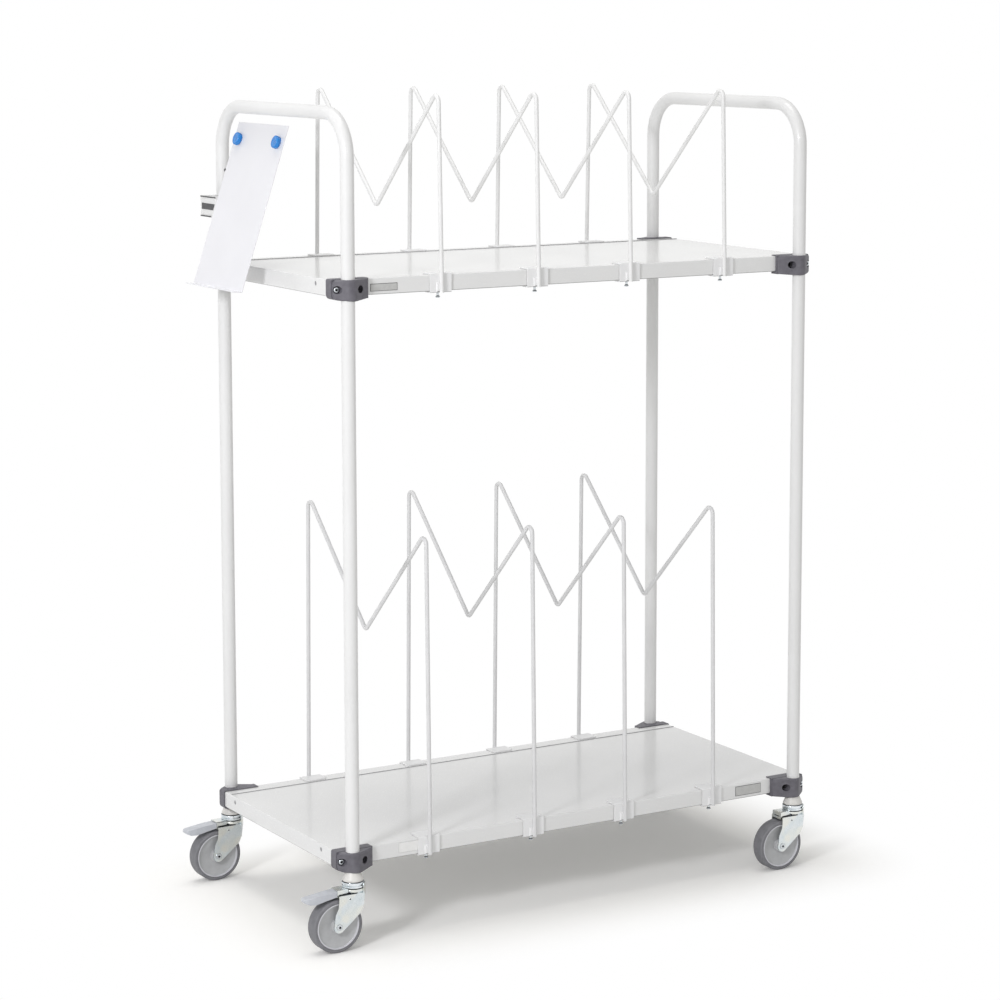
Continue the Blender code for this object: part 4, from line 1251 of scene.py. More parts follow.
@dataclass
class Dividers(SubAssembly):
    """The wire dividers of one tray, each an M of bar welded to two channel brackets."""

    level: Level
    valley: float
    count: int = 4
    wire_radius: float = 0.0040
    wire_sides: int = 20
    apex_radius: float = 0.0115
    apex_steps: int = 12
    valley_radius: float = 0.0080
    valley_steps: int = 8
    apex_half_span: float = 0.2311
    weld_sunk: float = 0.0004
    bracket_width: float = 0.045
    bracket_sheet: float = 0.0022
    top_lip: float = 0.0340
    bottom_lip: float = 0.0200
    lip_corner: float = 0.0060
    bracket_bend: float = 0.0015
    bend_steps: int = 4
    flange: float = 0.0308
    bracket_face: float = 0.2487
    bead_width: float = 0.0058
    bead_height: float = 0.0170
    bead_depth: float = 0.0026
    bead_rounding: float = 0.9
    screw_from_face: float = 0.0122
    screw_radius: float = 0.0024
    screw_drop: float = 0.0065
    head_radius: float = 0.0044
    head_height: float = 0.0040
    head_taper: float = 0.7
    screw_sides: int = 24

    @property
    def bottom(self) -> float:
        """Height of the brackets' foot from the tray's face."""
        return -self.flange - self.bracket_sheet

    def wire(self, peak: float) -> Form:
        """Bend the M of bar.

        Args:
            peak: height of its highest point from the tray's face.

        Returns:
            The wire.
        """
        apex = Vector((self.apex_half_span, peak - self.wire_radius - self.apex_radius))
        dip = Vector((0, self.valley + self.wire_radius + self.valley_radius))
        foot = Vector((self.bracket_face + self.wire_radius - self.weld_sunk, self.bottom))
        leg, slope = foot - apex, dip - apex
        leave_leg = math.atan2(leg.y, leg.x) + math.acos(self.apex_radius / leg.length)
        heading = math.atan2(slope.y, slope.x) % math.tau
        leave_apex = heading - math.acos((self.apex_radius + self.valley_radius) / slope.length)
        over = arc(apex, self.apex_radius, leave_leg, leave_apex, self.apex_steps)
        under = arc(dip, self.valley_radius, leave_apex - math.pi, -QUARTER_TURN,
                    self.valley_steps)
        half = [tuple(foot), *over, *under]
        path = half + [(-y, z) for y, z in reversed(half[:-1])]
        return Form.swept(path, self.wire_radius, self.wire_sides)

    def bracket(self) -> Form:
        """Fold one front bracket, with the weld bead beside its wire.

        Returns:
            The bracket.
        """
        face, sheet, half = -self.bracket_face, self.bracket_sheet, self.bracket_width / 2
        outline = ((face, HAIRLINE + sheet), (face + self.top_lip, HAIRLINE + sheet),
                   (face + self.top_lip, HAIRLINE), (face + sheet, HAIRLINE),
                   (face + sheet, -self.flange), (face + self.bottom_lip, -self.flange),
                   (face + self.bottom_lip, self.bottom), (face, self.bottom))
        made = Form.prism([(-half, y, z) for y, z in outline], (self.bracket_width, 0, 0))
        made.rounded(self.bracket_bend, self.bend_steps,
                     lambda a, b: max(a.y, b.y) < face + self.bracket_bend
                     and abs(a.x - b.x) > sheet)
        made.rounded(self.lip_corner, self.bend_steps,
                     lambda a, b: min(a.y, b.y) > face + self.top_lip - sheet
                     and abs(a.z - b.z) > sheet / 2)
        low = self.bottom + self.bracket_bend
        bead = Form.block((-self.wire_radius - self.bead_width, face - self.bead_depth, low),
                          (0, face + sheet / 2, low + self.bead_height))
        bead.rounded(self.bead_depth * self.bead_rounding, self.bend_steps,
                     lambda a, b: max(a.y, b.y) < face - self.bead_depth / 2)
        return made.united(bead)

    def screw(self) -> Form:
        """Turn the small screw under a front bracket, its head hanging clear below the lip.

        Returns:
            The screw.
        """
        neck = self.bottom - self.screw_drop
        foot = neck - self.head_height
        inside = self.bracket_sheet - self.flange
        profile = ((0, foot), (self.head_radius * self.head_taper, foot),
                   (self.head_radius, foot + HAIRLINE * 3),
                   (self.head_radius, foot + self.head_height / 2),
                   (self.screw_radius, neck + HAIRLINE), (self.screw_radius, inside), (0, inside))
        driver = Form.block((-self.head_radius * 2, -HAIRLINE * 2, foot - HAIRLINE),
                            (self.head_radius * 2, HAIRLINE * 2, foot + HAIRLINE * 2))
        made = Form.turned(profile, self.screw_sides).cut(driver)
        return made.moved((0, self.screw_from_face - self.bracket_face, 0))

    def build(self) -> None:
        """Set the dividers along the tray."""
        top = self.level.top
        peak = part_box(f"{self.level.value}_divider_1")[1].z - top
        wire = self.wire(peak).mesh(f"{self.level.value}_wire")
        brackets = self.bracket().beside(self.bracket().half_turned()).mesh("brackets")
        screws = self.screw().beside(self.screw().half_turned()).mesh("bracket_screws")
        # Painted light and shade: the lower dividers take the shaded copy of the wire coat, the
        # upper ones the lit copy.
        coat = SHADED_WIRE_COAT if self.level is Level.LOWER else LIT_WIRE_COAT
        for number in range(1, self.count + 1):
            node = f"{self.level.value}_divider_{number}"
            low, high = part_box(node)
            place = ((low.x + high.x) / 2, 0, top)
            self.piece(f"{node}_wire", wire, coat, node, place, replaces=[node])
            self.piece(f"{node}_brackets", brackets, BRACKET_COAT, node, place, edge=HAIRLINE)
            self.piece(f"{node}_screws", screws, SCREW_ZINC, node, place)


@dataclass
class Caster(SubAssembly):
    """A trailing swivel caster under a post: plug, races, fork, wheel and, if braked, pedal."""

    corner: Corner
    trail: float = 0.0375
    wheel_radius: float = 0.050
    tyre_width: float = 0.029
    tyre_thickness: float = 0.0070
    shoulder: float = 0.0038
    shoulder_steps: int = 5
    rim_thickness: float = 0.0026
    rim_inset: float = 0.0002
    rim_foot: float = 0.0015
    disc_width: float = 0.0200
    disc_dish: float = 0.0034
    dish_from_boss: float = 0.004
    dish_from_rim: float = 0.003
    boss_radius: float = 0.0130
    boss_half: float = 0.0161
    bore_radius: float = 0.0049
    wheel_steps: int = 64
    cheek_half: float = 0.0165
    cheek_sheet: float = 0.0025
    axle_radius: float = 0.0045
    axle_head: float = 0.0060
    axle_head_height: float = 0.0012
    socket_radius: float = 0.0026
    socket_depth: float = 0.0022
    socket_floor: float = 0.0012
    round_steps: int = 48
    cone_rim: float = 0.01925
    cone_neck: float = 0.0130
    cone_lip: float = 0.0045
    cone_inside: float = 0.0108
    race_radius: float = 0.0208
    race_groove: float = 0.0015
    race_track: float = 0.0016
    race_neck: float = 0.0028
    race_gap: float = 0.0006
    lower_race: tuple[float, float] = (0.1105, 0.1172)
    upper_race: tuple[float, float] = (0.1175, 0.1290)
    crown: tuple[float, float] = (0.1040, 0.1085)
    crown_rear: float = -0.020
    stud_radius: float = 0.0050
    stud_end: float = 0.004
    nut_radius: float = 0.0080
    nut_height: float = 0.006
    boss_outer: float = 0.0110
    boss_from: float = math.radians(-42)
    boss_to: float = math.radians(-190)
    boss_steps: int = 16
    front_edge: Points = ((0.0150, 0.1080), (0.0130, 0.0850), (0.0065, 0.0715))
    rear_edge: Points = ((-0.0452, 0.0730), (-0.0392, 0.0860), (-0.0383, 0.0930),
                         (-0.0375, 0.1080), (-0.0120, 0.1105))
    wall_centre: float = 0.0125
    wall_bulge: float = 0.0082
    wall_levels: Points = ((0.0960, 0.0068), (0.0880, 0.0040), (0.0830, 0.0012))
    shroud_radius: float = 0.0232
    shroud_root: float = 0.0160
    shroud_top: float = 0.1265
    shroud_half_angle: float = math.radians(58)
    hood: tuple[float, float] = (-0.0390, -0.0170)
    hood_half: float = 0.0141
    hood_sheet: float = 0.0016
    hood_top: float = 0.1184
    hood_round: float = 0.0025
    hood_steps: int = 4
    press_edge: float = HAIRLINE * 1.5
    pin: tuple[float, float] = (-0.0155, 0.1004)
    pin_radius: float = 0.0018
    pin_proud: float = 0.0006
    dimple_share: float = 0.75
    pedal_half: float = 0.0120
    pedal_skin: float = 0.0022
    pedal_tip: float = 0.0085
    pedal_edge: float = 0.0008
    pedal_eye: Points = ((-0.0110, 0.0970), (-0.0110, 0.1034), (-0.0212, 0.1034))
    pedal_top: Points = ((-0.0232, 0.1130), (-0.0390, 0.1158), (-0.0600, 0.1142),
                         (-0.0820, 0.1112))
    pedal_end: Points = ((-0.1000, 0.1088), (-0.1040, 0.1070), (-0.1030, 0.1030))
    pedal_under: Points = ((-0.0930, 0.0985), (-0.0800, 0.0975), (-0.0620, 0.1012),
                           (-0.0400, 0.1051), (-0.0208, 0.0995), (-0.0135, 0.0961))

    @property
    def cheek_outer(self) -> float:
        """Distance of a cheek's outer face from the wheel's middle."""
        return self.cheek_half + self.cheek_sheet

    def plug(self) -> Form:
        """Turn the cone of the expander plug that shows below the post.

        Returns:
            The plug, about the swivel axis on the floor.
        """
        low = self.upper_race[1] + HAIRLINE
        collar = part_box("left_end_frame")[0].z - HAIRLINE
        rim, lip, soft = self.cone_rim, self.cone_lip, HAIRLINE * 2
        bore = self.stud_radius + HAIRLINE
        profile = ((bore, low), (rim - soft, low), (rim, low + soft), (rim, low + lip - soft),
                   (rim - soft, low + lip), (self.cone_neck, collar), (self.cone_inside, collar),
                   (self.cone_inside, collar + lip), (bore, collar + lip))
        return Form.turned(profile, self.round_steps, closed=True)

    def king_pin(self) -> Form:
        """Turn the stud with the upper ball race and the lock nut.

        Returns:
            The king pin.
        """
        low, high = self.upper_race
        groove, outer = self.race_groove, self.race_radius
        ball = outer - self.race_track
        nut_top = self.crown[0] - HAIRLINE
        nut_low = nut_top - self.nut_height
        waist = (low + high) / 2
        body = Form.turned((
            (0, nut_low - MM), (self.stud_radius, nut_low - MM), (self.stud_radius, low),
            (ball, low), (outer - groove / 3, low + groove / 2), (outer, low + groove),
            (outer, waist - groove), (ball, waist - groove / 2), (ball, waist + groove / 2),
            (outer, waist + groove),
            (outer, high - groove), (outer - groove / 3, high - groove / 2), (ball, high),
            (self.stud_radius, high), (self.stud_radius, high + self.stud_end),
            (0, high + self.stud_end),
        ), self.round_steps)
        return body.united(Form.rod(self.nut_radius, nut_low, nut_top, HEXAGON))

    def fork(self) -> Form:
        """Press the fork: two cheeks, front wall, crown, lower ball race, shroud, hood and pin.

        Returns:
            The fork.
        """
        boss = arc((-self.trail, self.wheel_radius), self.boss_outer, self.boss_from, self.boss_to,
                   self.boss_steps)
        outline = [*self.front_edge, *boss, *self.rear_edge]
        sheets = [Form.prism([(x, side * self.cheek_half, z) for x, z in outline],
                             (0, side * self.cheek_sheet, 0)) for side in (-1, 1)]
        low, high = self.crown
        outer = self.cheek_outer
        crown = Form.block((self.crown_rear, -outer, low), (self.front_edge[0][0], outer, high))
        made = sheets[0].united(sheets[1], crown, self.race(), self.shroud(), self.rear_hood(),
                                self.front_wall(), self.rivet())
        stud_hole = Form.rod(self.stud_radius + HAIRLINE, low - PAST, high + PAST * 2,
                             self.round_steps)
        axle_hole = Form.rod(self.axle_radius + HAIRLINE, -THROUGH, THROUGH, self.round_steps)
        return made.cut(stud_hole, axle_hole.along((0, 1, 0), (-self.trail, 0, self.wheel_radius)))

    def race(self) -> Form:
        """Turn the ball race that swivels with the fork.

        Returns:
            The race.
        """
        low, high = self.lower_race
        groove, outer = self.race_groove, self.race_radius
        neck = outer - self.race_neck
        return Form.turned((
            (0, self.crown[0]), (neck, self.crown[0]), (neck, low),
            (outer - groove / 3, low + groove / 2), (outer, low + groove), (outer, high - groove),
            (outer - groove / 3, high - groove / 2), (outer - self.race_track, high), (0, high),
        ), self.round_steps)

    def race_room(self) -> Form:
        """Return the space that the upper ball race turns in."""
        return Form.rod(self.race_radius + self.race_gap, self.lower_race[1] - self.race_groove,
                        self.upper_race[1], self.round_steps)

    def shroud(self) -> Form:
        """Form the part of the pressing that wraps up in front of the ball races.

        Returns:
            The shroud.
        """
        angle = self.shroud_half_angle
        inner = arc((0, 0), self.shroud_root, angle, -angle, self.boss_steps)
        outer = arc((0, 0), self.shroud_radius, -angle, angle, self.boss_steps)
        outline = [(x, y, self.crown[0]) for x, y in inner + outer]
        return Form.prism(outline, (0, 0, self.shroud_top - self.crown[0])).cut(self.race_room())

    def front_wall(self) -> Form:
        """Form the curved front of the pressing, which runs from the shroud into the cheeks.

        Returns:
            The wall.
        """
        wall = Form()
        rings = []
        for height, bulge in ((self.crown[1], self.wall_bulge), *self.wall_levels):
            ring = []
            for reach, run in ((bulge, 1), (bulge - self.cheek_sheet, -1)):
                half = self.cheek_outer - (0 if run > 0 else self.cheek_sheet)
                for step in range(self.boss_steps + 1):
                    angle = QUARTER_TURN * (2 * step / self.boss_steps - 1) * run
                    x = self.wall_centre + reach * math.cos(angle)
                    ring.append(wall.bm.verts.new((x, half * math.sin(angle), height)))
            rings.append(ring)
        for upper, lower in zip(rings, rings[1:]):
            wall.bridge(upper, lower)
        wall.bm.faces.new(rings[0])
        wall.bm.faces.new(rings[-1])
        return wall

    def rear_hood(self) -> Form:
        """Form the hood over the wheel, open to the rear for a pedal and closed without one.

        Returns:
            The hood.
        """
        rear, front = self.hood
        shell = Form.block((rear, -self.hood_half, self.crown[0]),
                           (front, self.hood_half, self.hood_top))
        shell.rounded(self.hood_round, self.hood_steps,
                      lambda a, b: min(a.z, b.z) > self.crown[1]
                      and abs(a.x - b.x) > self.hood_sheet)
        inside = self.hood_half - self.hood_sheet
        back = rear - PAST if self.corner.braked else rear + self.hood_sheet
        room = Form.block((back, -inside, self.crown[0] - PAST),
                          (front + PAST, inside, self.hood_top - self.hood_sheet))
        return shell.cut(room, self.race_room())

    def rivet(self) -> Form:
        """Make the riveted pin at the top of the cheeks.

        Returns:
            The pin.
        """
        end = self.cheek_outer + self.pin_proud
        pin = Form.rod(self.pin_radius, -end, end, self.hole_sides)
        return pin.along((0, 1, 0), (self.pin[0], 0, self.pin[1]))

    @property
    def hole_sides(self) -> int:
        """Facets round the small holes and pins."""
        return self.round_steps // 2

    def axle(self) -> Form:
        """Turn the axle with its flat heads and their hexagon sockets.

        Returns:
            The axle, about its own middle.
        """
        flange = self.cheek_outer + HAIRLINE
        end = flange + self.axle_head_height
        soft = HAIRLINE
        side = ((0, end), (self.axle_head - soft, end), (self.axle_head, end - soft),
                (self.axle_head, flange), (self.axle_radius, flange))
        body = Form.turned(both_sides(side), self.round_steps)
        reach = (end - self.socket_depth, end + MM)
        sockets = [Form.rod(self.socket_radius, *sorted(way * height for height in reach), HEXAGON)
                   for way in (-1, 1)]
        return body.cut(*sockets).along((0, 1, 0))

    def sockets(self) -> Form:
        """Make the floors of the axle's two sockets, which carry painted shade.

        Returns:
            The floors, about the axle's middle.
        """
        face = self.cheek_outer + HAIRLINE + self.axle_head_height - HAIRLINE * 2
        floors = Form()
        for low, high in ((face - self.socket_floor, face), (-face, self.socket_floor - face)):
            floors.beside(Form.rod(self.socket_radius - HAIRLINE / 3, low, high, HEXAGON))
        return floors.along((0, 1, 0))

    def dimples(self) -> Form:
        """Make flat near-black discs on the ends of the pin: painted shade for the small hollows
        that the riveting tool leaves there.

        Returns:
            The discs, about the swivel axis on the floor.
        """
        face = self.cheek_outer + self.pin_proud + HAIRLINE / 3
        marks = Form()
        for low, high in ((face - HAIRLINE, face), (-face, HAIRLINE - face)):
            marks.beside(Form.rod(self.pin_radius * self.dimple_share, low, high, self.hole_sides))
        return marks.along((0, 1, 0), (self.pin[0], 0, self.pin[1]))

    def hub(self) -> Form:
        """Turn the wheel centre: rim with a raised lip, dished disc and axle boss.

        Returns:
            The hub, about its own middle.
        """
        outer = self.wheel_radius - self.tyre_thickness
        inner = outer - self.rim_thickness
        half, disc = self.tyre_width / 2 - self.rim_inset, self.disc_width / 2
        soft = HAIRLINE * 2
        boss, dished = self.boss_radius, disc - self.disc_dish
        side = ((self.bore_radius, self.boss_half), (boss - soft, self.boss_half),
                (boss, self.boss_half - soft), (boss, dished),
                (boss + self.dish_from_boss, dished),
                (inner - self.dish_from_rim, disc), (inner, disc + self.rim_foot),
                (inner + soft, half), (outer - soft, half), (outer, half - soft))
        return Form.turned(both_sides(side), self.wheel_steps, closed=True).along((0, 1, 0))

    def tyre(self) -> Form:
        """Turn the tyre with its rounded shoulders.

        Returns:
            The tyre, about its own middle.
        """
        inner = self.wheel_radius - self.tyre_thickness + HAIRLINE
        half, shoulder = self.tyre_width / 2, self.shoulder
        curve = arc((self.wheel_radius - shoulder, half - shoulder), shoulder, QUARTER_TURN, 0,
                    self.shoulder_steps)
        side = [(inner, half), *curve]
        return Form.turned(both_sides(side), self.wheel_steps, closed=True).along((0, 1, 0))

    def pedal(self) -> Form:
        """Form the hollow pedal with skirts and a rounded tip.

        Returns:
            The pedal, about its pin.
        """
        half, skin, tip = self.pedal_half, self.pedal_skin, self.pedal_tip
        outline = [*self.pedal_eye, *self.pedal_top, *self.pedal_end, *self.pedal_under]
        body = Form.prism([(x, -half, z) for x, z in outline], (0, half * 2, 0))
        end = min(x for x, z in outline)
        corner = arc((end + tip, half - tip), tip, QUARTER_TURN, math.pi, self.boss_steps // 2)
        plan = both_sides([(0, half), *corner])
        body = body.combined([Form.prism([(x, y, 0) for x, y in plan], (0, 0, THROUGH))],
                             "INTERSECT")
        roof = [(x - skin, z - skin) for x, z in self.pedal_top]
        room = [*roof, (roof[-1][0], 0), (roof[0][0], 0)]
        hollow = Form.prism([(x, skin - half, z) for x, z in room], (0, half * 2 - skin * 2, 0))
        eye = Form.rod(self.pin_radius + HAIRLINE, -THROUGH, THROUGH, self.hole_sides)
        body = body.cut(hollow, eye.along((0, 1, 0), (self.pin[0], 0, self.pin[1])))
        return body.moved((-self.pin[0], 0, -self.pin[1]))

    def build(self) -> None:
        """Set the caster under its post."""
        name, foot = f"caster_{self.corner.label}", self.corner.post
        fork, wheel = f"{self.corner.label}_fork", f"{self.corner.label}_wheel"
        middle = foot + Vector((-self.trail, 0, self.wheel_radius))
        self.piece(f"{name}_cone", self.plug().mesh("cone"), PLUG_POLYETHYLENE, "frame", foot,
                   replaces=[f"{name}_plug"])
        self.piece(f"{name}_upper_race", self.king_pin().mesh("upper_race"), RACE_ZINC, "frame",
                   foot, replaces=[f"{name}_king_pin"])
        self.piece(f"{name}_pressing", self.fork().mesh("pressing"), ZINC_PLATE, fork, foot,
                   replaces=[f"{name}_fork"], edge=self.press_edge)
        self.piece(f"{name}_axle_pin", self.axle().mesh("axle_pin"), SCREW_ZINC, fork, middle,
                   replaces=[f"{name}_axle"])
        # Painted shade: near-black floors in the axle sockets and on the ends of the pin.
        self.piece(f"{name}_axle_sockets", self.sockets().mesh("axle_sockets"), PAINTED_SHADE_BLACK, fork,
                   middle)
        self.piece(f"{name}_pin_dimples", self.dimples().mesh("pin_dimples"), PAINTED_SHADE_BLACK, fork,
                   foot)
        self.piece(f"{name}_wheel_centre", self.hub().mesh("wheel_centre"), HUB_POLYPROPYLENE,
                   wheel, middle, replaces=[f"{name}_hub"])
        self.piece(f"{name}_tread", self.tyre().mesh("tread"), TYRE_RUBBER, wheel, middle,
                   replaces=[f"{name}_tyre"])
        if self.corner.braked:
            self.piece(f"{name}_pedal_plate", self.pedal().mesh("pedal_plate"), PEDAL_COAT,
                       f"{self.corner.label}_pedal", foot + Vector((self.pin[0], 0, self.pin[1])),
                       replaces=[f"{name}_brake_pedal"], edge=self.pedal_edge)


@dataclass
class DocumentHolder(SubAssembly):
    """The tilted panel with its lip and magnets, on a bracket that grips a sleeve on the post."""

    strip: float = 0.040
    sheet: float = 0.0020
    front_from_post: float = 0.0400
    rear_from_post: float = 0.0165
    tube_radius: float = 0.0127
    sleeve_wall: float = 0.0012
    sleeve_steps: int = 48
    screw_from_post: float = 0.0205
    screw_head: float = 0.0050
    screw_head_height: float = 0.0035
    panel_width: float = 0.214
    panel_length: float = 0.321
    panel_sheet: float = 0.0015
    tilt: float = math.radians(18.2)
    foot_from_post: float = 0.0900
    foot_height: float = 1.200
    edge_from_post: float = 0.055
    lip_depth: float = 0.0177
    lip_rise: float = math.radians(5)
    tab_length: float = 0.105
    tab_overlap: float = 0.008
    magnet_radius: float = 0.01225
    magnet_height: float = 0.0090
    magnet_from_side: float = 0.0235
    magnet_from_top: float = 0.034
    magnet_soft: float = 0.0018
    magnet_steps: int = 5
    magnet_grip: Points = ((0.0012, 0.0), (0.0012, 0.0016), (0.0, 0.0024))
    magnet_dish: tuple[float, float] = (0.6, 0.0006)
    trim: float = 0.0024
    label_width: float = 0.060
    label_height: float = 0.012

    def __post_init__(self) -> None:
        """Work out the directions of the tilted panel."""
        low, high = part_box("holder_sleeve")
        self.origin = Vector(((low.x + high.x) / 2, (low.y + high.y) / 2, (low.z + high.z) / 2))
        self.up = Vector((math.sin(self.tilt), 0, math.cos(self.tilt)))
        self.back = Vector((math.cos(self.tilt), 0, -math.sin(self.tilt)))
        self.foot = Vector((-self.foot_from_post, 0, self.foot_height - self.origin.z))

    def panel(self) -> Form:
        """Fold the panel and its lip from one sheet.

        Returns:
            The panel, about the sleeve's middle.
        """
        out = Vector((-math.cos(self.lip_rise), 0, math.sin(self.lip_rise)))
        down = Vector((-math.sin(self.lip_rise), 0, -math.cos(self.lip_rise)))
        lip, top = self.foot + out * self.lip_depth, self.foot + self.up * self.panel_length
        heel = self.foot + self.panel_sheet * (self.back + down) / (1 + self.back.dot(down))
        outline = [lip, self.foot, top, top + self.back * self.panel_sheet, heel,
                   lip + down * self.panel_sheet]
        near = Vector((0, -self.edge_from_post, 0))
        return Form.prism([point + near for point in outline], (0, -self.panel_width, 0))

    def bracket(self) -> Form:
        """Fold the strip round the sleeve on three sides, with its front plate and tilted tab.

        Returns:
            The bracket, about the sleeve's middle.
        """
        sheet, half = self.sheet, self.strip / 2
        sleeve = self.tube_radius + self.sleeve_wall + HAIRLINE * 2
        end = sleeve + sheet
        front, near = -self.front_from_post, HAIRLINE - self.edge_from_post
        jaw, rear = -self.screw_from_post - self.screw_head, self.rear_from_post
        plates = [
            Form.block((front, sleeve, -half), (rear, end, half)),
            Form.block((rear - sheet, jaw, -half), (rear, end, half)),
            Form.block((-rear, jaw, -half), (sheet - rear, end, half)),
            self.tab(),
        ]
        return Form.block((front, near, -half), (front + sheet, end, half)).united(*plates)

    def tab(self) -> Form:
        """Make the tab of the bracket that lies along the back of the panel.

        Returns:
            The tab, about the sleeve's middle.
        """
        level = self.foot - self.up * (self.foot.z / self.up.z)
        middle = level + self.back * (self.panel_sheet + HAIRLINE)
        half_up = self.up * self.strip / 2 * math.cos(self.tilt)
        near = Vector((0, self.tab_overlap - self.edge_from_post, 0))
        far = near - Vector((0, self.tab_length, 0))
        outline = [middle + half_up + near, middle + half_up + far, middle - half_up + far,
                   middle - half_up + near]
        return Form.prism(outline, self.back * self.sheet)

    def trims(self) -> Form:
        """Make the two plastic strips that edge the front plate above and below.

        Returns:
            The strips, about the sleeve's middle.
        """
        half, face = self.strip / 2, -self.front_from_post
        low_y, high_y = -self.edge_from_post + self.trim, self.tube_radius
        strips = Form()
        for way in (-1, 1):
            level = way * (half - self.trim)
            low, high = sorted((level, way * half))
            strips.beside(Form.block((face - self.trim, low_y, low),
                                     (face - HAIRLINE, high_y, high)))
        return strips

    def label(self) -> Form:
        """Make the bare plate in the middle of the front plate.

        Returns:
            The plate, about the sleeve's middle.
        """
        face, half = -self.front_from_post, self.label_height / 2
        return Form.block((face - HAIRLINE * 2, self.tube_radius - self.label_width, -half),
                          (face, self.tube_radius - self.trim, half))

    def screw(self) -> Form:
        """Turn the screw that draws the jaws of the bracket on to the sleeve.

        Returns:
            The screw, about the sleeve's middle.
        """
        shank, head = self.screw_head / 2, self.screw_head
        under = self.rear_from_post + HAIRLINE
        top, tip = under + self.screw_head_height, -self.rear_from_post - self.sheet
        profile = ((0, tip), (shank, tip), (shank, under), (head, under),
                   (head, top - HAIRLINE * 2), (head - HAIRLINE * 2, top), (0, top))
        socket = Form.rod(shank, top - self.sheet, top + self.sheet, HEXAGON)
        made = Form.turned(profile, self.sleeve_steps).cut(socket)
        return made.along((1, 0, 0), (0, -self.screw_from_post, 0))

    def magnet(self) -> Form:
        """Turn a round magnet with a narrower foot and a soft, slightly dished face.

        Returns:
            The magnet, about the middle of its foot.
        """
        radius, high, soft = self.magnet_radius, self.magnet_height, self.magnet_soft
        crown = arc((radius - soft, high - soft), soft, 0, QUARTER_TURN, self.magnet_steps)
        grip = [(radius - inset, height) for inset, height in self.magnet_grip]
        share, dish = self.magnet_dish
        profile = [(0, 0), *grip, *crown, (radius * share, high), (0, high - dish)]
        return Form.turned(profile, self.sleeve_steps).along(-self.back)

    def build(self) -> None:
        """Set the holder on the rear left post."""
        at = self.origin
        half, outer = self.strip / 2, self.tube_radius + self.sleeve_wall + HAIRLINE / 2
        sleeve = Form.swept([(0, -half), (0, half)], outer, self.sleeve_steps, self.sleeve_wall)
        self.piece("holder_grip_sleeve", sleeve.mesh("grip_sleeve"), CLAMP_NYLON, "holder_sleeve",
                   at, replaces=["holder_sleeve"])
        self.piece("holder_strip_bracket", self.bracket().mesh("strip_bracket"), TRAY_COAT,
                   "holder", at, replaces=["holder_bracket"], edge=HAIRLINE)
        self.piece("holder_clamp_screw", self.screw().mesh("clamp_screw"), SCREW_ZINC, "holder",
                   at, replaces=["holder_screw"])
        self.piece("holder_sheet_panel", self.panel().mesh("sheet_panel"), PANEL_COAT, "holder",
                   at, replaces=["holder_panel"], edge=HAIRLINE)
        self.piece("holder_edge_trims", self.trims().mesh("edge_trims"), PLATE_EDGE, "holder", at,
                   edge=HAIRLINE)
        self.piece("holder_bare_plate", self.label().mesh("bare_plate"), PLATE_EDGE, "holder", at)
        rise = self.panel_length - self.magnet_from_top
        row = self.foot + self.up * rise - self.back * HAIRLINE
        steps = {"rear": self.edge_from_post + self.magnet_from_side,
                 "front": self.edge_from_post + self.panel_width - self.magnet_from_side}
        for side, step in steps.items():
            self.piece(f"holder_{side}_magnet_cap", self.magnet().mesh("magnet_cap"), MAGNET_CAP,
                       "holder", at + row - Vector((0, step, 0)),
                       replaces=[f"holder_{side}_magnet"])


@dataclass
class BarePlates(SubAssembly):
    """The plain label plates on the front flanges of the trays."""

    proud: float = 0.0004
    border: float = 0.0009
    plates: tuple[tuple[str, float, float, float, float, bool], ...] = (
        ("upper_left", -0.4466, -0.3907, 1.2136, 1.2274, True),
        ("lower_right", 0.3700, 0.4315, 0.1580, 0.1775, True),
        ("lower_left", -0.3950, -0.3500, 0.1600, 0.1790, False),
    )

    def build(self) -> None:
        """Set each plate on its flange."""
        place = (middle_x(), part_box(Level.LOWER.tray)[0].y, 0)
        for name, left, right, low, high, framed in self.plates:
            edge = self.border if framed else self.border / 2
            rim = Form.block((left, -self.proud, low), (right, 0, high))
            plain = Form.block((left + edge, -self.proud * 1.5, low + edge),
                               (right - edge, -self.proud / 2, high - edge))
            self.piece(f"{name}_plate_edge", rim.mesh("plate_edge"),
                       PLATE_EDGE if framed else PLATE_FACE, "frame", place)
            self.piece(f"{name}_plate_face", plain.mesh("plate_face"),
                       PLATE_FACE if framed else LABEL_WHITE, "frame", place)


@dataclass(frozen=True)
class SoftBox:
    """A square soft light that hangs outside the picture.

    Attributes:
        name: name of the lamp.
        place: where it hangs.
        target: what it points at.
        size: length of its sides.
        watts: its power.
        tint: its colour, sRGB.
    """

    name: str
    place: tuple[float, float, float]
    target: tuple[float, float, float]
    size: float
    watts: float
    tint: str

    def hang(self) -> None:
        """Hang the lamp, out of the camera's sight."""
        data = bpy.data.lights.new(self.name, "AREA")
        data.color = linear(self.tint)[:3]
        data.shape = "SQUARE"
        data.size = self.size
        data.energy = self.watts
        box = bpy.data.objects.new(self.name, data)
        bpy.context.scene.collection.objects.link(box)
        box.location = self.place
        aim = Vector(self.target) - Vector(self.place)
        box.rotation_euler = aim.to_track_quat("-Z", "Y").to_euler()
        box.visible_camera = False


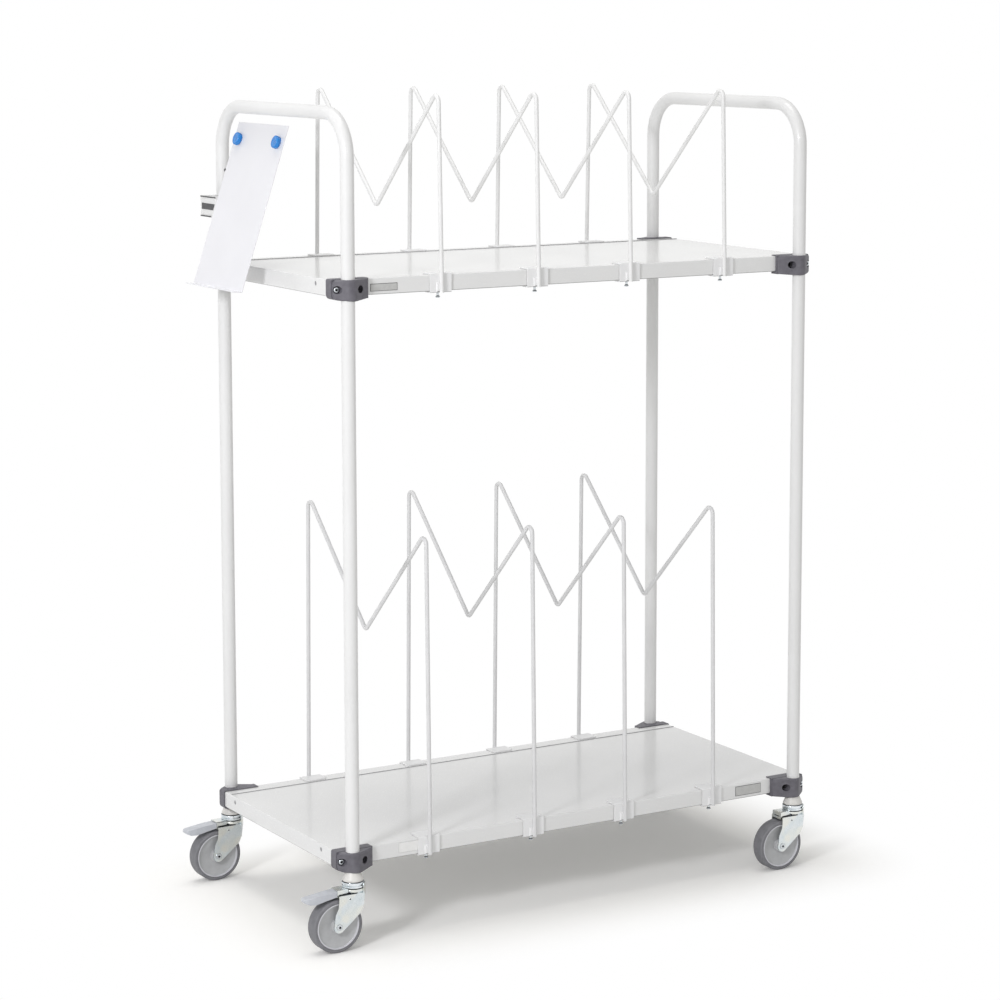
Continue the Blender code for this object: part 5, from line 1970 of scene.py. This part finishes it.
@dataclass
class Studio:
    """A plain pale floor, soft light from above and the left, and the camera."""

    floor_half: float = 30.0
    floor_colour: str = "#FDFCF9"
    bounce_colour: str = "#EFEFEE"
    floor_lift: float = 0.08
    footprint: tuple[float, float] = (0.54, 0.25)
    fade_from: float = 0.0
    fade_to: float = 0.25
    sky_fill: float = 0.47
    camera_place: tuple[float, float, float] = (-2.8349, -4.8345, 1.7226)
    camera_azimuth: float = -0.5435
    camera_pitch: float = 0.1286
    focal_pixels: float = 2879.67
    centre_pixel: tuple[float, float] = (533.9, 380.0)
    picture_pixels: float = 1000.0
    sensor_mm: float = 36.0
    lamps: tuple[SoftBox, ...] = (
        SoftBox("overhead_soft_box", (-1.0, 1.2, 14.0), (0.0, 0.0, 0.6), 6.8, 625.0, "#FFFEFC"),
        SoftBox("left_soft_box", (-3.75, -2.15, 2.4), (0.0, 0.0, 1.1), 0.7, 82.0, "#FBFBFF"),
        SoftBox("front_soft_box", (-1.2, -3.8, 2.4), (0.0, 0.0, 1.1), 1.6, 8.0, "#FFFEFC"),
    )

    def seen(self, tree: bpy.types.NodeTree) -> bpy.types.NodeSocket:
        """Tell rays from the camera, off a gloss or through glass from all others.

        Args:
            tree: node tree of the floor or the world.

        Returns:
            A socket that is one for those rays and zero for the others.
        """
        path = add(tree, "ShaderNodeLightPath")
        first = add(tree, "ShaderNodeMath",
                    {0: path.outputs["Is Camera Ray"], 1: path.outputs["Is Glossy Ray"]},
                    operation="MAXIMUM")
        both = add(tree, "ShaderNodeMath",
                   {0: first.outputs[0], 1: path.outputs["Is Transmission Ray"]},
                   operation="MAXIMUM")
        return both.outputs[0]

    def floor(self) -> None:
        """Lay a pale ground that holds the shadow and fades to white round the footprint."""
        surface = bpy.data.materials.new("studio_floor_paper")
        surface.use_nodes = True
        tree = surface.node_tree
        tree.nodes.clear()
        seen = self.seen(tree)
        paper = add(tree, "ShaderNodeMix",
                    {"Factor": seen, MIX_FIRST: linear(self.bounce_colour),
                     MIX_SECOND: linear(self.floor_colour)}, data_type="RGBA")
        ground = add(tree, "ShaderNodeBsdfDiffuse", {"Color": paper.outputs[MIX_RESULT]})
        strength = add(tree, "ShaderNodeMath", {0: seen, 1: self.floor_lift}, operation="MULTIPLY")
        lift = add(tree, "ShaderNodeEmission", {"Strength": strength.outputs[0]})
        lifted = add(tree, "ShaderNodeAddShader", {0: ground.outputs[0], 1: lift.outputs[0]})
        place = add(tree, "ShaderNodeTexCoord").outputs["Object"]
        folded = add(tree, "ShaderNodeVectorMath", {0: place}, operation="ABSOLUTE")
        beyond = add(tree, "ShaderNodeVectorMath",
                     {0: folded.outputs[0], 1: (*self.footprint, 0.0)}, operation="SUBTRACT")
        outside = add(tree, "ShaderNodeVectorMath", {0: beyond.outputs[0], 1: (0.0, 0.0, 0.0)},
                      operation="MAXIMUM")
        reach = add(tree, "ShaderNodeVectorMath", {0: outside.outputs[0]}, operation="LENGTH")
        fade = add(tree, "ShaderNodeMapRange",
                   {"Value": reach.outputs["Value"], "From Min": self.fade_from,
                    "From Max": self.fade_to}, interpolation_type="SMOOTHSTEP")
        share = add(tree, "ShaderNodeMath", {0: fade.outputs["Result"], 1: seen},
                    operation="MULTIPLY")
        white = add(tree, "ShaderNodeEmission", {"Strength": 1.0})
        mixed = add(tree, "ShaderNodeMixShader",
                    {"Fac": share.outputs[0], 1: lifted.outputs[0], 2: white.outputs[0]})
        add(tree, "ShaderNodeOutputMaterial", {"Surface": mixed.outputs[0]})
        half = self.floor_half
        sheet = bpy.data.meshes.new("studio_floor")
        corners = [(-half, -half, 0), (half, -half, 0), (half, half, 0), (-half, half, 0)]
        sheet.from_pydata(corners, [], [(0, 1, 2, 3)])
        sheet.materials.append(surface)
        ground_piece = bpy.data.objects.new("studio_floor", sheet)
        bpy.context.scene.collection.objects.link(ground_piece)
        ground_piece.location.x = middle_x()

    def sky(self) -> None:
        """Make the world: white where it is seen, and an even soft fill for everything else."""
        world = bpy.data.worlds.new("studio_room")
        bpy.context.scene.world = world
        world.use_nodes = True
        tree = world.node_tree
        tree.nodes.clear()
        strength = add(tree, "ShaderNodeMapRange",
                       {"Value": self.seen(tree), "To Min": self.sky_fill, "To Max": 1.0})
        glow = add(tree, "ShaderNodeBackground",
                   {"Color": linear("#FFFFFF"), "Strength": strength.outputs["Result"]})
        add(tree, "ShaderNodeOutputWorld", {"Surface": glow.outputs[0]})

    def camera(self) -> None:
        """Set the camera where the photograph was taken from."""
        data = bpy.data.cameras.new("camera")
        data.sensor_width = self.sensor_mm
        data.lens = self.focal_pixels * self.sensor_mm / self.picture_pixels
        data.shift_x = 0.5 - self.centre_pixel[0] / self.picture_pixels
        data.shift_y = self.centre_pixel[1] / self.picture_pixels - 0.5
        eye = bpy.data.objects.new("camera", data)
        bpy.context.scene.collection.objects.link(eye)
        eye.location = self.camera_place
        eye.rotation_euler = (QUARTER_TURN - self.camera_pitch, 0, self.camera_azimuth)
        bpy.context.scene.camera = eye

    def build(self) -> None:
        """Set up the studio."""
        bpy.context.scene.view_settings.view_transform = "Standard"
        self.floor()
        self.sky()
        for lamp in self.lamps:
            lamp.hang()
        self.camera()
        log.info("studio set")


def main() -> None:
    """Dress the trolley and light it."""
    logging.basicConfig(level=logging.INFO, format="%(message)s")
    parts: list[SubAssembly] = [
        EndFrame(Side.LEFT),
        EndFrame(Side.RIGHT),
        Tray(Level.LOWER),
        Tray(Level.UPPER),
        CornerClamps(),
        Dividers(Level.LOWER, valley=0.3480),
        Dividers(Level.UPPER, valley=0.1107),
        *[Caster(corner) for corner in Corner],
        DocumentHolder(),
        BarePlates(),
    ]
    for part in parts:
        part.build()
    Studio().build()


if __name__ == "__main__":
    main()
